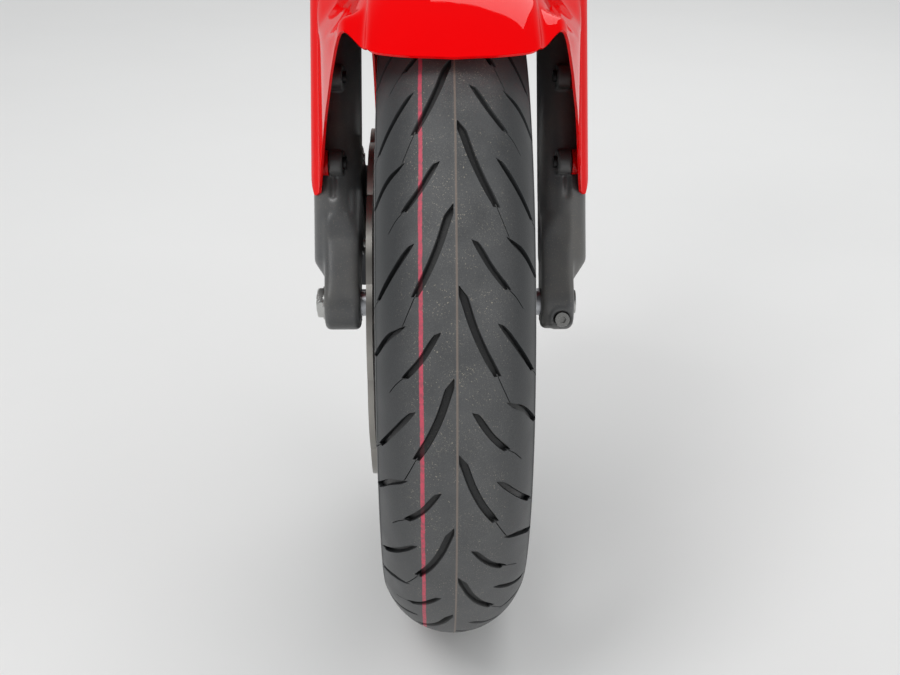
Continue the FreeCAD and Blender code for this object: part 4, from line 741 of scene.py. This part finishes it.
def wing_section(y):
    """Half section at a place behind the axle, from the crown's middle to the skirt's lower edge."""
    crown = [on_drum(x, y, drop) for x, drop in CROWN]
    if y < -SLEEVE_FRONT:
        ridge_x, drop, edge_x, bulge = (smooth_between(WING, y, column) for column in (1, 2, 3, 4))
    else:
        ridge_x = edge_x = LEG_X + math.sqrt(SLEEVE_RADIUS ** 2 - (y - LEG_Y) ** 2)
        drop, bulge = SLEEVE_TOP_DROP, WING[-1][4]
    ridge = on_drum(ridge_x, y, drop)
    slope = SKIRT_FRONT_SLOPE if y < -SKIRT_TIP_FRONT else SKIRT_REAR_SLOPE
    low = min(SKIRT_TIP_HEIGHT + abs(y + SKIRT_TIP_FRONT) * slope, ridge.z - SKIRT_LEAST_HEIGHT)
    edge = Vector((edge_x, y, low))
    last = crown[-1]
    valley = last.lerp(ridge, VALLEY_SHARE) + Vector((0.0, 0.0, -VALLEY_DEPTH))
    roof = last.lerp(ridge, ROOF_SHARE) + Vector((0.0, 0.0, bulge))
    reach = min(RIDGE_RADIUS, RIDGE_SHARE * (ridge.z - low))
    before = ridge + (roof - ridge).normalized() * reach
    after = ridge + (edge - ridge).normalized() * reach
    shoulder = catmull(crown + [valley, roof, before], SECTION_STEPS)
    bend = [before.lerp(ridge, t).lerp(ridge.lerp(after, t), t) for t in (0.25, 0.5, 0.75)]
    skirt = [after.lerp(edge, k / SKIRT_STEPS) for k in range(SKIRT_STEPS + 1)]
    return shoulder + bend + skirt


def lip_distance(point):
    """How far a point lies behind the front lip, measured square to the crown there."""
    a = math.radians(GUARD_FRONT_ANGLE)
    first = on_drum(0.0, -GUARD_RADIUS * math.sin(a), 0.0)
    along = (point - first).dot(Vector((0.0, math.cos(a), math.sin(a))))
    return along - smooth_between(LIP, abs(point.x), 1)


def lip_start(column, front):
    """Place behind the axle where one column of the section meets the front lip."""
    low, high = front - LIP_SEARCH_REACH, LIP_FADE_Y
    for halving in range(LIP_HALVINGS):
        middle = (low + high) / 2
        if lip_distance(wing_section(middle)[column]) < 0:
            low = middle
        else:
            high = middle
    return (low + high) / 2


def around_tyre(section, degrees):
    """Points given as half width and drop below the crown, at an angle behind the top."""
    a = math.radians(degrees)
    return [Vector((x, (GUARD_RADIUS - drop) * math.sin(a), (GUARD_RADIUS - drop) * math.cos(a)))
            for x, drop in section]


def guard_rows():
    """Rows of half sections from the front lip to the wing's rear edge."""
    front = -GUARD_RADIUS * math.sin(math.radians(GUARD_FRONT_ANGLE))
    places = [front]
    for gap in LIP_ROWS:
        places.append(places[-1] + gap)
    while places[-1] < SLEEVE_ROWS_FROM:
        places.append(places[-1] + ROW_GAP)
    while places[-1] < SLEEVE_REAR - LAST_ROW_GAP:
        places.append(places[-1] + SLEEVE_ROW_GAP)
    places[-1] = SLEEVE_REAR
    starts = [lip_start(column, front) for column in range(len(wing_section(0.0)))]
    rows = []
    for y in places:
        share = min(1.0, max(0.0, (LIP_FADE_Y - y) / (LIP_FADE_Y - front)))
        rows.append([wing_section(y + (start - front) * share)[column]
                     for column, start in enumerate(starts)])
    return rows


def mirrored(points):
    """The same points on the other side, in the opposite order."""
    return [Vector((-p.x, p.y, p.z)) for p in reversed(points)]


def guard_mesh(name):
    """The mudguard's outer face: crown with wings, and behind the legs crown with side walls."""
    vertices, faces = [], []

    def add_row(points):
        start = len(vertices)
        vertices.extend(points)
        return list(range(start, len(vertices)))

    def add_whole_row(half):
        return add_row(mirrored(half[1:]) + half)

    def add_sides(degrees):
        side = around_tyre(SIDE_WALL, degrees)
        return add_row(mirrored(side)), add_row(side)

    def join_rows(row, next_row):
        for j in range(len(row) - 1):
            faces.append((row[j], row[j + 1], next_row[j + 1], next_row[j]))

    rows = [add_whole_row(half) for half in guard_rows()]
    for row, next_row in zip(rows, rows[1:]):
        join_rows(row, next_row)

    # the rear stretch goes on from the last row's crown
    crown = catmull_flat(CROWN, SECTION_STEPS)
    middle = len(rows[-1]) // 2
    last_crown = rows[-1][middle - len(crown) + 1:middle + len(crown)]
    first_angle = math.degrees(math.asin(SLEEVE_REAR / GUARD_RADIUS))
    steps = round((GUARD_REAR_ANGLE - first_angle) / REAR_ROW_DEGREES)
    left, right = add_sides(first_angle)
    previous = left + last_crown + right
    for k in range(1, steps + 1):
        degrees = first_angle + (GUARD_REAR_ANGLE - first_angle) * k / steps
        whole = add_whole_row(around_tyre(crown, degrees))
        left, right = add_sides(degrees)
        current = left + whole + right
        join_rows(previous, current)
        previous = current
    return mesh_object(name, [FROM_FORK @ (p * MM) for p in vertices], faces)


def cylinder_between(name, start, end, radius):
    """Closed cylinder from one fork-frame point to another."""
    build = bmesh.new()
    start, end = Vector(start), Vector(end)
    bmesh.ops.create_cone(build, cap_ends=True, segments=CYLINDER_SIDES, radius1=radius, radius2=radius,
                          depth=(end - start).length)
    turn = (end - start).to_track_quat("Z", "Y").to_matrix().to_4x4()
    build.transform(Matrix.Scale(MM, 4) @ Matrix.Translation((start + end) / 2) @ turn)
    build.transform(FROM_FORK)
    mesh = bpy.data.meshes.new(name)
    build.to_mesh(mesh)
    build.free()
    return add_object(name, mesh)


def leg_cylinder(side, low, high, radius):
    """Cutter along one fork leg."""
    return cylinder_between("leg_room", (side * LEG_X, LEG_Y, low), (side * LEG_X, LEG_Y, high), radius)


def build_mudguard(material):
    """Moulded mudguard with rounded edges, holes for the legs and bosses for its screws."""
    guard = guard_mesh("mudguard_shell")
    wall = guard.modifiers.new("wall", "SOLIDIFY")
    wall.thickness = GUARD_WALL * MM
    wall.offset = -1.0
    apply_modifiers(guard)
    for side in (1, -1):
        for radius, low in LEG_HOLES:
            cut_away(guard, leg_cylinder(side, low, LEG_HOLE_TOP, radius))
    soften(guard, GUARD_EDGE, GUARD_SHARP_ANGLE)
    dress(guard, material, "fork", "mudguard")
    boss_end = smooth_between(WING, EAR_Y, 3) - GUARD_WALL / 2
    for side in (1, -1):
        for height in EAR_HEIGHTS:
            boss = cylinder_between("mudguard_boss", (side * (EAR_OUTER_X + LEG_ROOM), EAR_Y, height),
                                    (side * boss_end, EAR_Y, height), BOSS_RADIUS)
            cut_away(boss, leg_cylinder(side, height - BOSS_CUT_REACH, height + BOSS_CUT_REACH,
                                        LEG_RADIUS + LEG_ROOM))
            soften(boss, BOSS_EDGE, BOSS_SHARP_ANGLE)
            dress(boss, material, "fork", "mudguard")


# Castings and machined pieces, as eased copies of the frame's solids

def copied_mesh(node):
    """Copy of a frame node's mesh, in the frame's axes."""
    source = frame["nodes"][node]
    mesh = source.data.copy()
    mesh.transform(source.matrix_world)
    return mesh


def ease_points(piece, rounds, group=""):
    """Move every point towards its neighbours, or those of a group by their weights."""
    ease = piece.modifiers.new("ease", "SMOOTH")
    ease.factor = 0.5
    ease.iterations = rounds
    ease.vertex_group = group


def round_copy(node, voxel, rounds):
    """Copy of a frame node with its edges and inner corners rounded, as a casting has them."""
    piece = add_object(node + "_cast", copied_mesh(node))
    remesh = piece.modifiers.new("cast", "REMESH")
    remesh.mode = "VOXEL"
    remesh.voxel_size = voxel * MM
    remesh.use_smooth_shade = True
    ease_points(piece, rounds)
    apply_modifiers(piece)
    return piece


def fork_places(piece):
    """A piece's vertices as an array of millimetres in the fork frame."""
    places = np.empty(len(piece.data.vertices) * 3)
    piece.data.vertices.foreach_get("co", places)
    to_fork = np.array(FROM_FORK.inverted())
    return (places.reshape(-1, 3) @ to_fork[:3, :3].T + to_fork[:3, 3]) / MM


def growth(values, edge, length):
    """Share that grows from nought at an edge to 1 over a length."""
    return np.clip((values - edge) / length, 0.0, 1.0)


def fading(values, edge, length):
    """Share that fades over a length to nought at an edge."""
    return np.clip((edge - values) / length, 0.0, 1.0)


def blend_foot(piece):
    """Run the foot smoothly into the cylinder above it, and leave its bores and lugs alone."""
    local = fork_places(piece)
    height = growth(local[:, 2], *FOOT_BLEND_LOW) * fading(local[:, 2], *FOOT_BLEND_HIGH)
    rear = fading(local[:, 1], *FOOT_BLEND_REAR)
    bore = growth(np.hypot(local[:, 1], local[:, 2]), *FOOT_BLEND_BORE)
    weights = np.round(height * rear * bore * FOOT_BLEND_LEVELS).astype(int)
    group = piece.vertex_groups.new(name="blend")
    for level in range(1, FOOT_BLEND_LEVELS + 1):
        group.add(np.flatnonzero(weights == level).tolist(), level / FOOT_BLEND_LEVELS, "REPLACE")
    ease_points(piece, FOOT_BLEND_ROUNDS, "blend")
    apply_modifiers(piece)


def true_leg(piece, side):
    """Move vertices that lie near one leg's cylinder onto it."""
    axis = (side * LEG_X, LEG_Y)
    local = fork_places(piece)
    across = local[:, :2] - axis
    distance = np.hypot(across[:, 0], across[:, 1])
    near = np.abs(distance - LEG_RADIUS) < LEG_REACH
    local[near, :2] = axis + across[near] * (LEG_RADIUS / distance[near])[:, None]
    from_fork = np.array(FROM_FORK)
    places = (local * MM) @ from_fork[:3, :3].T + from_fork[:3, 3]
    piece.data.vertices.foreach_set("co", places.ravel())
    piece.data.update()


def eased_copy(node, width):
    """Copy of a machined frame node with its sharp edges broken, as turned and forged pieces have them."""
    mesh = copied_mesh(node)
    build = bmesh.new()
    build.from_mesh(mesh)
    bmesh.ops.remove_doubles(build, verts=build.verts, dist=WELD_DISTANCE)
    bmesh.ops.dissolve_limit(build, angle_limit=math.radians(FLAT_ANGLE), verts=build.verts,
                             edges=build.edges)
    build.to_mesh(mesh)
    build.free()
    piece = add_object(node + "_eased", mesh)
    soften(piece, width, MACHINED_SHARP_ANGLE)
    return piece


def build_castings(finishes):
    for node, voxel, rounds, slot in CASTINGS:
        piece = round_copy(node, voxel, rounds)
        if node in SLIDER_SIDES:
            true_leg(piece, SLIDER_SIDES[node])
            blend_foot(piece)
        smooth(piece, CASTING_SHARP_ANGLE)
        dress(piece, finishes[slot], "fork", node)


def build_machined(finishes):
    for node, body, width, slot in MACHINED:
        piece = eased_copy(node, width)
        dress(piece, finishes[slot], body, node)


# Finishes

# plain ones: colour, roughness, then metallic, unevenness of the colour and strength of the grain
SURFACES = {
    "wheel_paint": (srgb(52, 53, 56), 0.35, 0.3),
    "disc_steel": (srgb(160, 157, 152), 0.3, 1.0, 0.04),
    "carrier_alloy": (srgb(66, 66, 69), 0.42, 0.8),
    "bright_steel": (srgb(186, 186, 184), 0.24, 1.0),
    "black_rubber": (srgb(38, 38, 38), 0.6, 0.0, 0.1),
    "chrome": (srgb(225, 226, 228), 0.06, 1.0, 0.01, 0.0),
    "cap_alloy": (srgb(182, 184, 188), 0.32, 1.0),
    "black_steel": (srgb(40, 40, 41), 0.4, 0.6),
    "caliper_paint": (srgb(54, 55, 58), 0.38, 0.2),
    "pad_compound": (srgb(120, 110, 102), 0.7, 0.4),
    "yoke_alloy": (srgb(112, 115, 118), 0.38, 0.5),
    "bearing_steel": (srgb(200, 200, 198), 0.2, 1.0),
}


def make_finishes():
    """The material of every slot, by the slot's name."""
    finishes = {slot: surface(slot, *values) for slot, values in SURFACES.items()}
    finishes["fork_paint"] = dusty_paint("fork_paint", srgb(90, 91, 92), srgb(150, 143, 130))
    finishes["red_paint"] = lacquer("red_paint", srgb(236, 2, 6))
    finishes["tyre_rubber"] = surface("tyre_plain", srgb(56, 56, 57), 0.6)
    return finishes


def dress_frame(finishes):
    """Give every CAD node the material of its slot."""
    slots = {part["node"]: part["material_slot"] for part in frame["record"]["subparts"]}
    for name, node in frame["nodes"].items():
        node.data.materials.clear()
        node.data.materials.append(finishes[slots[name]])


# Stage

def build_floor():
    """Wide pale floor under the tyre."""
    corners = [(x * FLOOR_HALF_SIZE, y * FLOOR_HALF_SIZE, FLOOR_Z)
               for x, y in ((-1, -1), (1, -1), (1, 1), (-1, 1))]
    floor = mesh_object("floor", corners, [(0, 1, 2, 3)])
    material, bsdf, add = shader("floor")
    light_tone = (FLOOR_TONE, FLOOR_TONE, FLOOR_TONE * 0.99, 1.0)
    tone = ramp(add, noise(add, object_place(add), 3.0), (0.3, shade(light_tone, 0.985)), (0.7, light_tone))
    set_inputs(bsdf, {"Base Color": tone, "Roughness": 0.8})
    floor.data.materials.append(material)


def build_world():
    """Even light, and a backdrop that the camera, mirrors and glass see as pale as the floor."""
    world = bpy.data.worlds.new("studio")
    world.use_nodes = True
    tree = world.node_tree
    add = node_adder(tree)
    light = tree.nodes["Background"]
    set_inputs(light, {"Color": WORLD_COLOUR, "Strength": WORLD_LIGHT})
    direction = add("ShaderNodeTexCoord").outputs["Generated"]
    height = add("ShaderNodeSeparateXYZ", {"Vector": direction}).outputs["Z"]
    tone = map_range(add, height, *BACKDROP_FADE, 1.0, OVERHEAD_TONE, interpolation_type="SMOOTHSTEP")
    strength = WORLD_LIGHT * FLOOR_TONE * BACKDROP_MATCH
    seen = add("ShaderNodeBackground", {"Color": tone, "Strength": strength})
    path = add("ShaderNodeLightPath").outputs
    direct = path["Is Camera Ray"]
    for name in ("Is Glossy Ray", "Is Transmission Ray"):
        direct = math_node(add, "MAXIMUM", direct, path[name])
    choice = add("ShaderNodeMixShader", {0: direct, 1: light.outputs[0], 2: seen.outputs[0]})
    set_inputs(tree.nodes["World Output"], {"Surface": choice.outputs[0]})
    bpy.context.scene.world = world


def build_lamps():
    for name, place, target, width, watts in LAMPS:
        light = bpy.data.lights.new(name, "AREA")
        light.energy = watts
        light.size = width
        lamp = bpy.data.objects.new(name, light)
        lamp.location = place
        aim = Vector(target) - Vector(place)
        lamp.rotation_euler = aim.to_track_quat("-Z", "Y").to_euler()
        bpy.context.scene.collection.objects.link(lamp)


def build_camera():
    """Camera at the photograph's place and angle."""
    data = bpy.data.cameras.new("camera")
    data.sensor_width = SENSOR_WIDTH
    data.lens = LENS
    data.clip_start = CLIP_START
    camera = bpy.data.objects.new("camera", data)
    rise = math.radians(CAMERA_ELEVATION)
    camera.location = AXLE + Vector((CAMERA_X, -CAMERA_DISTANCE * math.cos(rise),
                                     CAMERA_DISTANCE * math.sin(rise)))
    camera.rotation_euler = (math.radians(90 - CAMERA_PITCH), 0.0, math.radians(-CAMERA_YAW))
    bpy.context.scene.collection.objects.link(camera)
    bpy.context.scene.camera = camera


FINISHES = make_finishes()
dress_frame(FINISHES)
build_tyre()
build_mudguard(FINISHES["red_paint"])
build_castings(FINISHES)
build_machined(FINISHES)
build_floor()
build_world()
build_lamps()
build_camera()
bpy.context.scene.view_settings.view_transform = "Standard"
